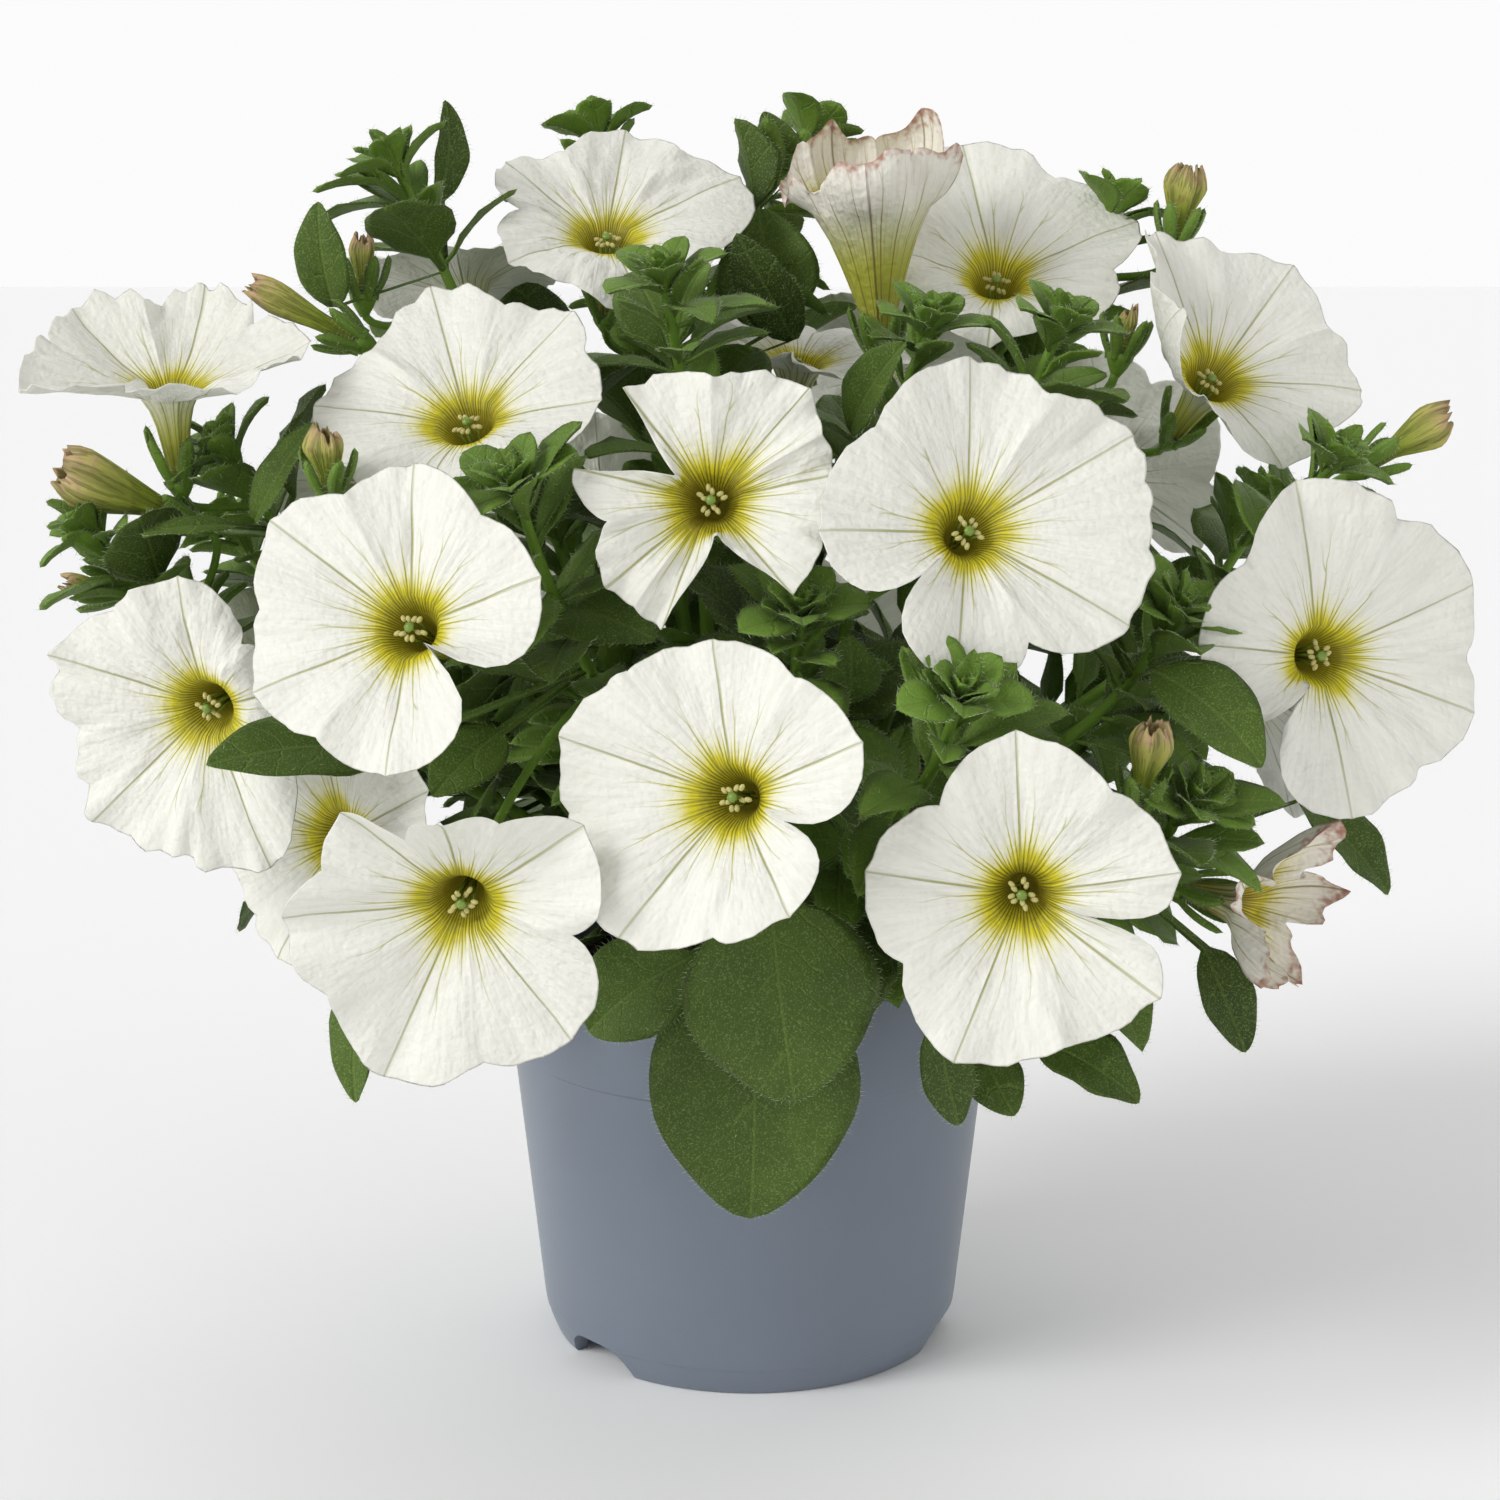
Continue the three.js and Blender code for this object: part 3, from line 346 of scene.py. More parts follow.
strew(crumbs, spots.outputs["Points"], ball.outputs["Mesh"], spin, size, given.outputs["Material"], whole)
crumbs.links.new(given.outputs["Geometry"], whole.inputs[0])
crumbs.links.new(whole.outputs[0], result.inputs[0])

dome = SOIL_CROWN - SOIL_EDGE
profile = SOIL_PROFILE + [(radius, SOIL_EDGE + dome * (1 - radius / 56)) for radius in SOIL_RINGS]
points, faces = turned(profile, SOIL_SIDES, SOIL_PROFILE[0][1], SOIL_CROWN)
unevenness = np.random.default_rng(5)
points = [
    (x, y, z + (unevenness.uniform(-1.3, 0.6) if z > SOIL_EDGE - 1 and math.hypot(x, y) < 54 else 0))
    for x, y, z in points
]
potting_soil = new_piece("peat_with_perlite", points, faces, [peat, perlite])
grains = ((CRUMBS_PER_SQUARE_METRE, 1, peat), (PERLITE_PER_SQUARE_METRE, 2, perlite))
for density, seed, material in grains:
    grow_on(potting_soil, crumbs, {
        "Per square metre": density, "Crumb radius": CRUMB_RADIUS * MM, "Seed": seed,
        "Material": material,
    })
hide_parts("potting_soil")
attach(potting_soil, "root")


# Flowers' places. Each corolla sits in the calyx of a pedicel, so the places come before the
# shoots: the middle of the limb, the way it faces, and per petal the angle of its tip, its
# reach, the depth of the cleft after it, its curl, and for a wide cleft how sharply it cuts in.
OPEN_BLOOMS = [
    ((-123, -47, 232), (-0.02, -0.27, 0.96), [
        (12, 31, 0.2, 0.45), (84, 29, 0.22, 0.8), (145, 31, 0.2, 0.7),
        (208, 32, 0.6, 0.15), (303, 30, 0.15, 0.4)]),
    ((-32, -4, 262), (0.05, -0.52, 0.85), [
        (34, 38, 0.12, -0.1), (81, 40, 0.22, 0), (135, 31, 0.3, 0.1),
        (208, 25, 0.15, -0.3), (285, 28, 0.2, -0.6)]),
    ((-60, -60, 225), (-0.22, -0.62, 0.75), [
        (8, 30, 0.1, -0.1), (62, 33, 0.14, 0), (118, 38, 0.16, 0),
        (180, 34, 0.1, -0.1), (265, 25, 0.15, -0.3)]),
    ((56, 0, 252), (0, -0.62, 0.78), [
        (30, 38, 0.15, -0.1), (98, 42, 0.15, 0), (165, 24, 0.15, -0.2),
        (262, 25, 0.15, -0.4), (322, 27, 0.2, -0.3)]),
    ((103, -25, 231), (0.3, -0.68, 0.67), [
        (42, 42, 0.1, 0), (92, 38, 0.2, 0), (165, 27, 0.4, 2),
        (285, 27, 0.15, -0.3), (350, 36, 0.12, -0.2)]),
    ((-8, -94, 210), (-0.05, -0.97, 0.25), [
        (11, 25, 0.05, 0), (48, 28.5, 0.16, 0), (129, 27, 0.73, 0, 0.5), (168, 27.5, 0.25, 0),
        (222, 26.5, 0.03, 0), (251, 27.5, 0.73, 0, 0.5), (311, 25, 0.03, 0)]),
    ((44, -99, 205), (0.2, -0.91, 0.35), [
        (27, 38, 0.14, 0), (86, 34, 0.16, 0), (180, 31, 0.5, 0),
        (258, 32, 0.26, 0), (325, 36, 0.05, 0)]),
    ((-68, -105, 187), (-0.28, -0.88, 0.38), [
        (21, 29, 0.15, 0), (94, 32, 0.15, 0), (148, 35, 0.1, 0),
        (208, 33, 0.12, 0), (272, 30, 0.8, 0)]),
    ((-116, -67, 161), (-0.36, -0.92, -0.15), [
        (95, 29, 0.12, -0.3), (160, 34, 0.15, 0), (222, 39, 0.1, 0),
        (290, 36, 0.15, -0.1), (15, 22, 0.2, -1.6)]),
    ((-57, -116, 131), (-0.1, -0.97, -0.22), [
        (37, 32, 0.12, 0), (92, 25, 0.25, 0.9), (133, 30, 0.15, 0.2),
        (182, 34, 0.15, 0), (245, 41, 0.14, 0), (308, 34, 0.3, 0)]),
    ((-5, -123, 156), (-0.34, -0.92, 0.2), [
        (25, 29, 0.08, 0), (99, 30, 0.05, 0), (165, 35, 0.08, 0),
        (235, 35, 0.12, 0), (305, 26, 0.5, 0.1)]),
    ((52, -123, 136), (-0.1, -0.99, 0.08), [
        (11, 30, 0.12, 0), (93, 32, 0.22, 0), (171, 30, 0.18, 0),
        (249, 34, 0.1, 0), (325, 32, 0.62, 0)]),
    ((121, -69, 174), (0.34, -0.93, 0.15), [
        (20, 38, 0.14, 0), (100, 37, 0.15, 0), (172, 31, 0.7, 0),
        (275, 34, 0.12, 0), (338, 37, 0.1, 0)]),
    ((-94, -40, 128), (-0.55, -0.8, 0.1), None),
    ((-70, 45, 250), (-0.2, 0.3, 0.93), None),
    ((12, 38, 232), (0.1, -0.2, 0.97), None),
    ((-95, 72, 198), (-0.55, 0.75, 0.35), None),
    ((-40, 116, 180), (-0.2, 0.95, 0.2), None),
    ((34, 104, 224), (0.15, 0.75, 0.65), None),
    ((95, 84, 198), (0.5, 0.8, 0.35), None),
    ((20, 128, 142), (0.1, 0.99, 0), None),
    ((-116, 52, 146), (-0.8, 0.6, 0.05), None),
    ((128, 28, 150), (0.93, 0.3, 0.15), None),
]
FADING_BLOOMS = [
    ((26.5, -10.9, 269.5), (-0.08, -0.12, 0.98), [
        (20, 23, 0.3, 1.2), (85, 31, 0.3, 2.1), (145, 29, 0.35, 2.3),
        (210, 21, 0.3, 1), (300, 24, 0.3, 2.2)], 39, 13, 3),
    ((110, -66, 118), (0.85, -0.5, -0.15), [
        (10, 27, 0.6, 1.5, 0.9), (88, 26, 0.6, 0.9, 0.9), (146, 19, 0.5, 0.1, 1),
        (222, 21, 0.5, 1.3, 1), (304, 24, 0.6, 1.2, 0.9)], 20, 7, 0.6),
]
SPENT_BLOOMS = [
    ((-120, -40, 198), (-146, -48, 211), 13), ((-85, -25, 236), (-108, -28, 248), 8),
    ((-86, -10, 245), (-86, -10, 258), 6), ((-86, -70, 208), (-86, -74, 221), 8),
    ((97, 10, 256), (100, 10, 273), 10), ((134, -28, 209), (153, -28, 220), 8),
    ((78, -92, 147), (80, -97, 165), 8), ((-137, -36, 183), (-149, -38, 185), 5),
    ((82, -15, 232), (84, -15, 242), 5),
]
TUBE_LENGTH = 26
THROAT = 6.5
TUBE_SWELL = 0.6
SPENT_SIZE = 0.75
UP = np.array([0.0, 0.0, 1.0])


def unit(v):
    return np.asarray(v, float) / np.linalg.norm(v)


def stream(seed):
    """The same repeatable numbers from 0 to 1 as the solids were grown with."""
    state = seed

    def draw():
        nonlocal state
        state = (state + 0x6D2B79F5) & 0xFFFFFFFF
        mixed = (state ^ (state >> 15)) * (state | 1) & 0xFFFFFFFF
        mixed ^= (mixed + (mixed ^ (mixed >> 7)) * (mixed | 61)) & 0xFFFFFFFF
        return (mixed ^ (mixed >> 14)) / 4294967296

    return draw


def drawn_petals(seed):
    """Petals of a bloom on the plant's far side."""
    draw = stream(seed)
    first = 72 * draw()
    split = int(5 * draw())
    petals = []
    for i in range(5):
        angle = first + 72 * i + 12 * (draw() - 0.5)
        reach = 29 + 5 * draw()
        cleft = 0.55 if i == split else 0.1 + 0.12 * draw()
        petals.append((angle, reach, cleft, -0.35 + 0.5 * draw()))
    return petals


blooms = []
for i, (middle, facing, petals) in enumerate(OPEN_BLOOMS):
    blooms.append({
        "node": f"bloom_{i + 1:02d}", "at": np.array(middle, float), "face": unit(facing),
        "petals": petals or drawn_petals(900 + i), "tube": TUBE_LENGTH, "throat": THROAT,
        "swell": TUBE_SWELL, "size": 1,
    })
for i, (middle, facing, petals, tube_length, throat, swell) in enumerate(FADING_BLOOMS):
    blooms.append({
        "node": f"fading_bloom_{i + 1:02d}", "at": np.array(middle, float), "face": unit(facing),
        "petals": petals, "tube": tube_length, "throat": throat, "swell": swell, "size": 1,
    })
for i, bloom in enumerate(blooms):
    bloom["foot"] = bloom["at"] - bloom["tube"] * bloom["face"]
    bloom["tone"] = i
for i, (start, end, width) in enumerate(SPENT_BLOOMS):
    blooms.append({
        "node": f"spent_bloom_{i + 1:02d}", "foot": np.array(start, float), "width": width,
        "end": np.array(end, float), "face": unit(np.subtract(end, start)), "size": SPENT_SIZE,
    })


# Leafy shoots. Soft green stems that rise from the soil and lean out, each with its leaves,
# its growing tip, and the pedicels and calyces of its flowers. Each grew in one piece.
SHOOT_TIPS = [
    (-78, -5, 272), (-140, -42, 196), (-112, -34, 212), (-46, -88, 210), (-18, -40, 248),
    (-36, 50, 279), (14, 38, 278), (38, -30, 238), (66, -34, 238), (84, 20, 262),
    (123, -42, 210), (40, -110, 172), (10, -84, 184), (86, -72, 182), (88, -85, 146),
    (-62, 78, 232), (4, 92, 240), (72, 78, 226), (124, 42, 190), (-124, 38, 186),
    (-84, 88, 158), (60, 108, 168), (-112, -8, 138),
]
LARGE_LEAVES = [
    ((0, -76, 112), (0, -80, 55), 44, (0, -1, 0.1)),
    ((4, -94, 129), (9, -98, 87), 40, (0.1, -1, 0.2)),
    ((39, -80, 99), (44, -78, 75), 12, (0.3, -1, 0)),
    ((60, -68, 91), (83, -72, 78), 16, (0, -0.6, 0.8)),
    ((50, -60, 86), (57, -66, 73), 13, (0.2, -0.9, 0.3)),
    ((-12, -78, 112), (-34, -76, 95), 22, (-0.2, -0.9, 0.3)),
    ((-81, -68, 106), (-84, -72, 78), 13, (-0.5, -0.8, 0.1)),
    ((-74, -76, 156), (-108, -98, 157), 21, (-0.1, -0.6, 0.8)),
    ((-42, -70, 185), (-19, -86, 180), 18, (0, -0.7, 0.7)),
    ((-52, -70, 158), (-65, -82, 147), 15, (0, -0.8, 0.6)),
    ((10, 0, 235), (-3, -8, 259), 14, (-0.4, -0.8, 0.3)),
    ((22, -28, 217), (33, -44, 237), 13, (-0.2, -0.7, 0.5)),
    ((5, 14, 236), (2, 20, 264), 24, (-0.2, -0.9, 0.2)),
    ((82, -78, 173), (103, -88, 155), 19, (0.2, -0.7, 0.6)),
    ((120, -45, 138), (139, -50, 118), 15, (0.3, -0.6, 0.7)),
    ((98, -58, 108), (107, -62, 86), 13, (0.4, -0.9, 0.1)),
    ((88, -68, 151), (100, -74, 131), 15, (0.3, -0.9, 0.2)),
    ((-92, -15, 243), (-94, -20, 266), 13, (-0.3, -0.9, 0)),
    ((-70, 0, 266), (-68, 0, 288), 9, (0.6, -0.7, 0)),
    ((-84, -30, 231), (-108, -40, 235), 8, (0, -0.3, 0.9)),
    ((-109, -52, 199), (-127, -60, 198), 9, (0, -0.3, 0.9)),
    ((-105, -50, 200), (-91, -54, 221), 9, (-0.6, -0.7, 0.2)),
    ((12, 30, 273), (3, 32, 286), 9, (-0.5, -0.6, 0.5)),
    ((-10, -76, 102), (3, -82, 101), 16, (0, -0.8, 0.5)),
    ((20, -78, 166), (20, -84, 181), 12, (0, -1, 0)),
    ((-10, -58, 193), (4, -74, 178), 13, (0.2, -0.8, 0.5)),
]
STEM_STEPS = 4
PEDICEL_STEPS = 3
LEAVES_ON_SHOOT = 7
TIP_LEAVES = 6
TRIES = 16
STEM_TRIES = 40
STEM_RADIUS = 2.1
STEM_TAPER = 1.0
PEDICEL_RADIUS = 1.05
PEDICEL_REACH = 80
LARGE_LEAF_SHIFTS = (0, 3, -3, 6, -6, 10)
GOLDEN_ANGLE = 137.5
MARK_SLACK = 0.04
LEAF_REFERENCE = unit((0.31, 0.95, 0.05))

# Each node's corners, by which the solids say which of the possible shapes was grown
marks = {}
for name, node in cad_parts.items():
    corners = np.array([v.co for v in node.data.vertices]) / MM
    tree = kdtree.KDTree(len(corners))
    for i, corner in enumerate(corners):
        tree.insert(corner, i)
    tree.balance()
    marks[name] = (tree, corners)


def marked(node, points, needed=1):
    """Whether enough of the points are corners of the node's solid."""
    return sum(marks[node][0].find(Vector(p))[2] < MARK_SLACK for p in points) >= needed


def across(tangent):
    """Two directions square to a stem."""
    first = unit(np.cross(tangent, LEAF_REFERENCE))
    return first, np.cross(tangent, first)


def spokes_round(axis, count):
    """Directions square to an axis, spread evenly round it."""
    first, second = across(axis)
    angles = [2 * math.pi * k / count for k in range(count)]
    return [first * math.cos(a) + second * math.sin(a) for a in angles]


def bezier(controls, t):
    a, b, c, d = controls
    return (1 - t) ** 3 * a + 3 * t * (1 - t) ** 2 * b + 3 * t * t * (1 - t) * c + t ** 3 * d


def ring_round(points, i, radius, sides):
    """Corners of the solid's ring at one station of a stem."""
    before, after = points[max(i - 1, 0)], points[min(i + 1, len(points) - 1)]
    return [points[i] + radius * way for way in spokes_round(unit(after - before), sides)]


def find_stem(index):
    """The stem of a shoot: its curve above the soil and the solid's points."""
    node = f"shoot_{index + 1:02d}"
    tip = np.array(SHOOT_TIPS[index], float)
    reach = math.hypot(tip[0], tip[1])
    for attempt in range(STEM_TRIES):
        draw = stream(1000 * index + 17 * attempt)
        angle = math.atan2(tip[1], tip[0]) + 0.12 * attempt * (draw() - 0.5)
        ring = 8 + 0.14 * reach + attempt * (draw() - 0.5)
        outward = np.array([math.cos(angle), math.sin(angle), 0])
        neck = (SOIL_CROWN + 2) * UP + ring * outward
        foot = neck - 16 * UP
        rise = np.linalg.norm(tip - neck)
        first = neck + 0.34 * rise * UP + 0.04 * rise * outward
        second = tip - 0.34 * rise * unit(0.9 * UP + 0.4 * outward)
        for control in (first, second):
            control += [3 * attempt * (draw() - 0.5) for _ in range(3)]
        controls = (neck, first, second, tip)
        points = [foot] + [bezier(controls, s / STEM_STEPS) for s in range(STEM_STEPS + 1)]
        radii = [STEM_RADIUS - STEM_TAPER * max(i - 1, 0) / STEM_STEPS for i in range(len(points))]
        corners = [c for i in (2, 3, 4) for c in ring_round(points, i, radii[i], 4)]
        if marked(node, corners, 3):
            return {
                "index": index, "node": node, "controls": controls, "points": points, "foot": foot,
            }
    return None


def on_stem(stem, share):
    """A place on the solid's stem, its direction, and the same place on the smooth curve."""
    place = min(share, 0.9999) * STEM_STEPS
    step = int(place)
    start, end = stem["points"][1 + step], stem["points"][2 + step]
    smooth = bezier(stem["controls"], min(share, 1))
    return start + (end - start) * (place - step), unit(end - start), smooth


def find_pedicel(stems, bloom):
    """The curve from a stem to a flower's calyx."""
    foot, axis = bloom["foot"], bloom["face"]
    wanted = foot - 14 * axis - 10 * UP
    tries = []
    for stem in stems:
        for step in range(8):
            share = 0.2 + 0.1 * step
            distance = np.linalg.norm(on_stem(stem, share)[0] - wanted)
            for bow in (0, 0.25, -0.25):
                tries.append((distance + 12 * abs(bow), len(tries), stem, share, bow))
    for _, _, stem, share, bow in sorted(tries, key=lambda item: item[:2]):
        point, tangent, smooth = on_stem(stem, share)
        end = foot - 2.6 * axis
        span = np.linalg.norm(end - point)
        if np.linalg.norm(foot - point) > PEDICEL_REACH:
            continue
        first = point + 0.3 * span * tangent + bow * span * UP
        second = end - 0.35 * span * axis
        solid = (point, first, second, end)
        points = [bezier(solid, s / PEDICEL_STEPS) for s in range(PEDICEL_STEPS + 1)]
        corners = [c for i in (1, 2) for c in ring_round(points, i, 0.95, 3)]
        if marked(stem["node"], corners, 2):
            return stem, (smooth, first, second, end)
    return None


def on_line(node, start, end):
    """How many of a node's corners lie on the line between two points."""
    corners = marks[node][1]
    way = end - start
    share = (corners - start) @ way / (way @ way)
    off = np.linalg.norm(corners - start - share[:, None] * way, axis=1)
    return int(((off < 0.03) & (share > 0.001) & (share < 0.98)).sum())


def find_large_leaf(stems, entry):
    """The stem that holds a large leaf, and the leaf, moved deeper or nearer as the solid's is."""
    foot, tip, width, facing = (np.array(v, float) for v in entry)
    for deeper in LARGE_LEAF_SHIFTS:
        shift = np.array([0, deeper, 0])
        for stem in stems:
            if not marked(stem["node"], [tip + shift]):
                continue
            line = tip - foot
            side = unit(np.cross(line, facing))
            upper = unit(np.cross(side, line))
            edge = foot + shift + 0.52 * upper
            corners = [edge + side, edge - side, foot + shift - 0.78 * upper]
            tries = []
            for step in range(9):
                place, _, smooth = on_stem(stem, 0.08 + 0.1 * step)
                cost = np.linalg.norm(place - foot + 8 * UP)
                hits = sum(on_line(stem["node"], place, corner) for corner in corners)
                tries.append((-hits, cost, step, smooth))
            smooth = min(tries, key=lambda item: item[:3])[3]
            return stem, {
                "root": smooth, "foot": foot + shift, "tip": tip + shift, "width": float(width),
                "face": facing, "arch": 0.06, "kind": "large",
            }
    return None


def leaning(tangent, turn, polar):
    """A direction that leans from a stem's by polar, on the side given by turn."""
    first, second = across(tangent)
    radial = first * math.cos(turn) + second * math.sin(turn)
    return tangent * math.cos(polar) + radial * math.sin(polar)


def ruled_leaf(stem, number, attempt):
    """A leaf of the stem: the lower ones are longer and lie flatter."""
    draw = stream(100000 + 1000 * stem["index"] + 20 * number + attempt)
    share = 0.08 + 0.8 * number / (LEAVES_ON_SHOOT - 1)
    point, tangent, smooth = on_stem(stem, share)
    turn = math.radians(GOLDEN_ANGLE * number + 50 * stem["index"] + 30 * attempt * (draw() - 0.5))
    polar = math.radians(76 - 30 * share + 6 * attempt * (draw() - 0.5))
    length = (58 - 26 * share) * (0.85 + 0.3 * draw()) * (1 - 0.03 * attempt)
    way = leaning(tangent, turn, polar)
    return {
        "root": smooth, "foot": point + 0.18 * length * way, "width": 0.58 * length,
        "tip": point + way * length - 0.14 * length * UP, "face": tangent + 0.5 * UP,
        "arch": 0.07, "kind": "leaf",
    }


def tip_leaf(stem, number, attempt):
    """A small leaf of the growing tip: the inner ones stand upright."""
    draw = stream(500000 + 1000 * stem["index"] + 20 * number + attempt)
    age = number / (TIP_LEAVES - 1)
    point, tangent, smooth = on_stem(stem, 0.9 + 0.1 * age)
    turn = math.radians(GOLDEN_ANGLE * number + 30 * stem["index"] + 20 * attempt * (draw() - 0.5))
    polar = math.radians(66 - 48 * age + 5 * attempt * (draw() - 0.5))
    length = (22 - 10 * age) * (0.85 + 0.3 * draw())
    way = leaning(tangent, turn, polar)
    return {
        "root": smooth - 0.3 * tangent, "foot": smooth + 0.12 * length * way,
        "tip": point + way * length, "width": 0.38 * length, "face": tangent, "arch": 0.06,
        "kind": "tip",
    }


def ovate(share):
    """Half width of a leaf: broad, with a blunt tip."""
    return math.sin(math.pi * share ** 0.85) ** 0.62 * (1 - 0.12 * max(share - 0.55, 0) / 0.45)


def spoon(share):
    """Half width of a young leaf or sepal: narrow at the foot, round past its middle."""
    return math.sin(math.pi * share ** 1.2) ** 0.6


# Where a point lies along its leaf, in millimetres. Stalks and cups have a place of their own.
STALK_PLACE = -50


class Growth:
    """The points and faces of one shoot as its parts are added, with what each point knows:
    its place along and across its leaf, the leaf's tone, and how its hairs grow."""

    def __init__(self):
        self.points, self.faces, self.count = [], [], 0
        self.known = {"along": [], "across": [], "tone": [], "fuzz": [], "rim": [], "hair": []}

    def take(self, points, faces, **known):
        points = np.asarray(points, float).reshape(-1, 3)
        n = len(points)
        self.points.append(points)
        self.faces += [tuple(self.count + k for k in face) for face in faces]
        self.count += n
        for key, numbers in self.known.items():
            shape = (n, 3) if key == "hair" else (n,)
            numbers.append(np.broadcast_to(np.asarray(known.get(key, 0), float), shape))


def add_stalk(growth, path, radii, sides, tone, fuzz):
    """A round stalk along a path, with a vertex at each end."""
    path = np.asarray(path, float)
    points, hair = [path[0]], [[0, 0, 0]]
    for i in range(len(path)):
        for corner in ring_round(path, i, radii[i], sides):
            points.append(corner)
            hair.append(unit(corner - path[i]))
    points.append(path[-1])
    hair.append([0, 0, 1])
    growth.take(points, tube_faces(len(path), sides),
                along=STALK_PLACE, tone=tone, fuzz=fuzz, hair=hair)


def add_blade(growth, leaf, draw, rows, columns, tone, fuzz, stalk=0.9, cup=None, outline=ovate):
    """A leaf or sepal: a short stalk that widens into a thin blade with a keel under its
    midrib, sunk side veins, and edges that lift and ripple a little."""
    root, foot, tip = leaf["root"], leaf["foot"], leaf["tip"]
    line = tip - foot
    length = np.linalg.norm(line)
    side = unit(np.cross(line, leaf["face"]))
    upper = unit(np.cross(side, line))
    cup = 0.02 + 0.30 * draw() if cup is None else cup
    ripple = (0.04 + 0.07 * draw()) * min(length / 30, 1)
    phase = 6.28 * draw()
    bend = (draw() - 0.5) * 0.10
    stalk_rows = 3
    shares = [-(1 - k / stalk_rows) for k in range(stalk_rows)]
    shares += [1 - (1 - k / rows) ** 1.35 for k in range(rows)]
    t = np.linspace(-1, 1, columns + 1)
    t = np.sign(t) * np.abs(t) ** 0.8
    spacing = 4.5 + 0.04 * length
    points, known = [], {"along": [], "across": [], "fuzz": [], "rim": [], "hair": []}
    for share in shares:
        if share < 0:
            spot = root + (foot - root) * (1 + share)
            half = stalk * (1 + 0.4 * (1 + share))
            place = share * np.linalg.norm(foot - root)
        else:
            spot = foot + line * share + upper * (leaf["arch"] * length * 4 * share * (1 - share))
            spot = spot + side * (bend * length * math.sin(math.pi * share))
            half = outline(share) if share > 0 else 0
            half = math.hypot(half * leaf["width"] / 2, stalk * 1.4 * (1 - share))
            place = share * length
        reach = half * t
        vein = np.cos(2 * math.pi * (place - 0.5 * np.abs(reach) - 0.03 * reach ** 2) / spacing)
        quilt = np.abs(np.sin(math.pi * t)) * (1 - vein) * min(half / 6, 1) if share > 0 else 0
        lift = cup * half * np.abs(t) ** 1.5 + 0.24 * np.minimum(np.abs(reach), 1.4) + 0.22 * quilt
        wave = half * ripple * np.abs(t) ** 3 * np.sin(15 * max(share, 0) + phase + 1.5 * np.sign(t))
        top = spot + side * reach[:, None] + upper * (lift + wave)[:, None]
        rib = (0.34 + 0.10 * (half < 3)) * np.exp(-(reach / 0.9) ** 2)
        thick = 0.28 + 0.10 * (1 - np.abs(t)) + rib
        points += [top, (top - upper * thick[:, None])[1:-1]]
        edge = (np.abs(t) > 0.99) & (share >= 0)
        way = side * (np.sign(t) * np.abs(t) ** 4 * 2.6)[:, None]
        facts = {
            "along": np.full(columns + 1, place), "across": reach, "rim": edge * 1.0,
            "fuzz": np.full(columns + 1, fuzz if share >= 0 else 4 * fuzz), "hair": upper + way,
        }
        for key, numbers in facts.items():
            lower = (way - upper)[1:-1] if key == "hair" else numbers[1:-1]
            known[key].append(np.concatenate([numbers, lower]))
    row, end, last = 2 * columns, len(shares) * 2 * columns, len(shares) - 1

    def under(r, j):
        return r * row + (j if j in (0, columns) else columns + j)

    faces = []
    for j in range(columns):
        for r in range(last):
            a, b = r * row + j, (r + 1) * row + j
            faces.append((a, a + 1, b + 1, b))
            faces.append((under(r, j), under(r + 1, j), under(r + 1, j + 1), under(r, j + 1)))
        faces.append((last * row + j, last * row + j + 1, end))
        faces.append((under(last, j + 1), under(last, j), end))
        cap = [j + 1, j, under(0, j), under(0, j + 1)]
        faces.append([k for i, k in enumerate(cap) if k not in cap[:i]])
    points.append(np.array([tip]))
    for key, value in (("along", length), ("across", 0), ("rim", 1), ("fuzz", fuzz)):
        known[key].append([value])
    known["hair"].append([unit(line) * 2])
    growth.take(np.concatenate(points), faces, tone=tone,
                **{key: np.concatenate(parts) for key, parts in known.items()})


# Height over the flower's foot and radius of the calyx cup's rings, from the pedicel up
CALYX_CUP = [(-4.4, 0.9), (-3.4, 1.5), (-2.2, 2.2), (-0.8, 2.8), (0.8, 3.0), (0.9, 2.3)]
CALYX_SIDES = 10
SEPALS = 5
SEPAL_LENGTH = 13


def add_calyx(growth, bloom, draw):
    """A small cup that parts into five narrow sepals round the foot of a flower."""
    foot, axis = bloom["foot"], bloom["face"]
    points, hair = [foot + (CALYX_CUP[0][0] - 0.2) * axis], [-axis]
    for height, radius in CALYX_CUP:
        for way in spokes_round(axis, CALYX_SIDES):
            points.append(foot + height * axis + radius * way)
            hair.append(way)
    points.append(foot - 0.6 * axis)
    hair.append(axis)
    growth.take(points, tube_faces(len(CALYX_CUP), CALYX_SIDES),
                along=STALK_PLACE, tone=0.75, fuzz=10, hair=hair)
    length = SEPAL_LENGTH * bloom["size"]
    for way in spokes_round(axis, SEPALS):
        sepal = {
            "root": foot + 2.5 * way - 0.6 * axis, "foot": foot + 2.8 * way + 0.9 * axis,
            "tip": foot + (2.9 + 0.3 * length) * way + 0.95 * length * axis,
            "width": 3.4 * (0.9 + 0.2 * draw()), "face": -way, "arch": -0.07,
        }
        add_blade(growth, sepal, draw, 6, 4, 0.6 + 0.3 * draw(), 4, 1.1, 0.15, spoon)


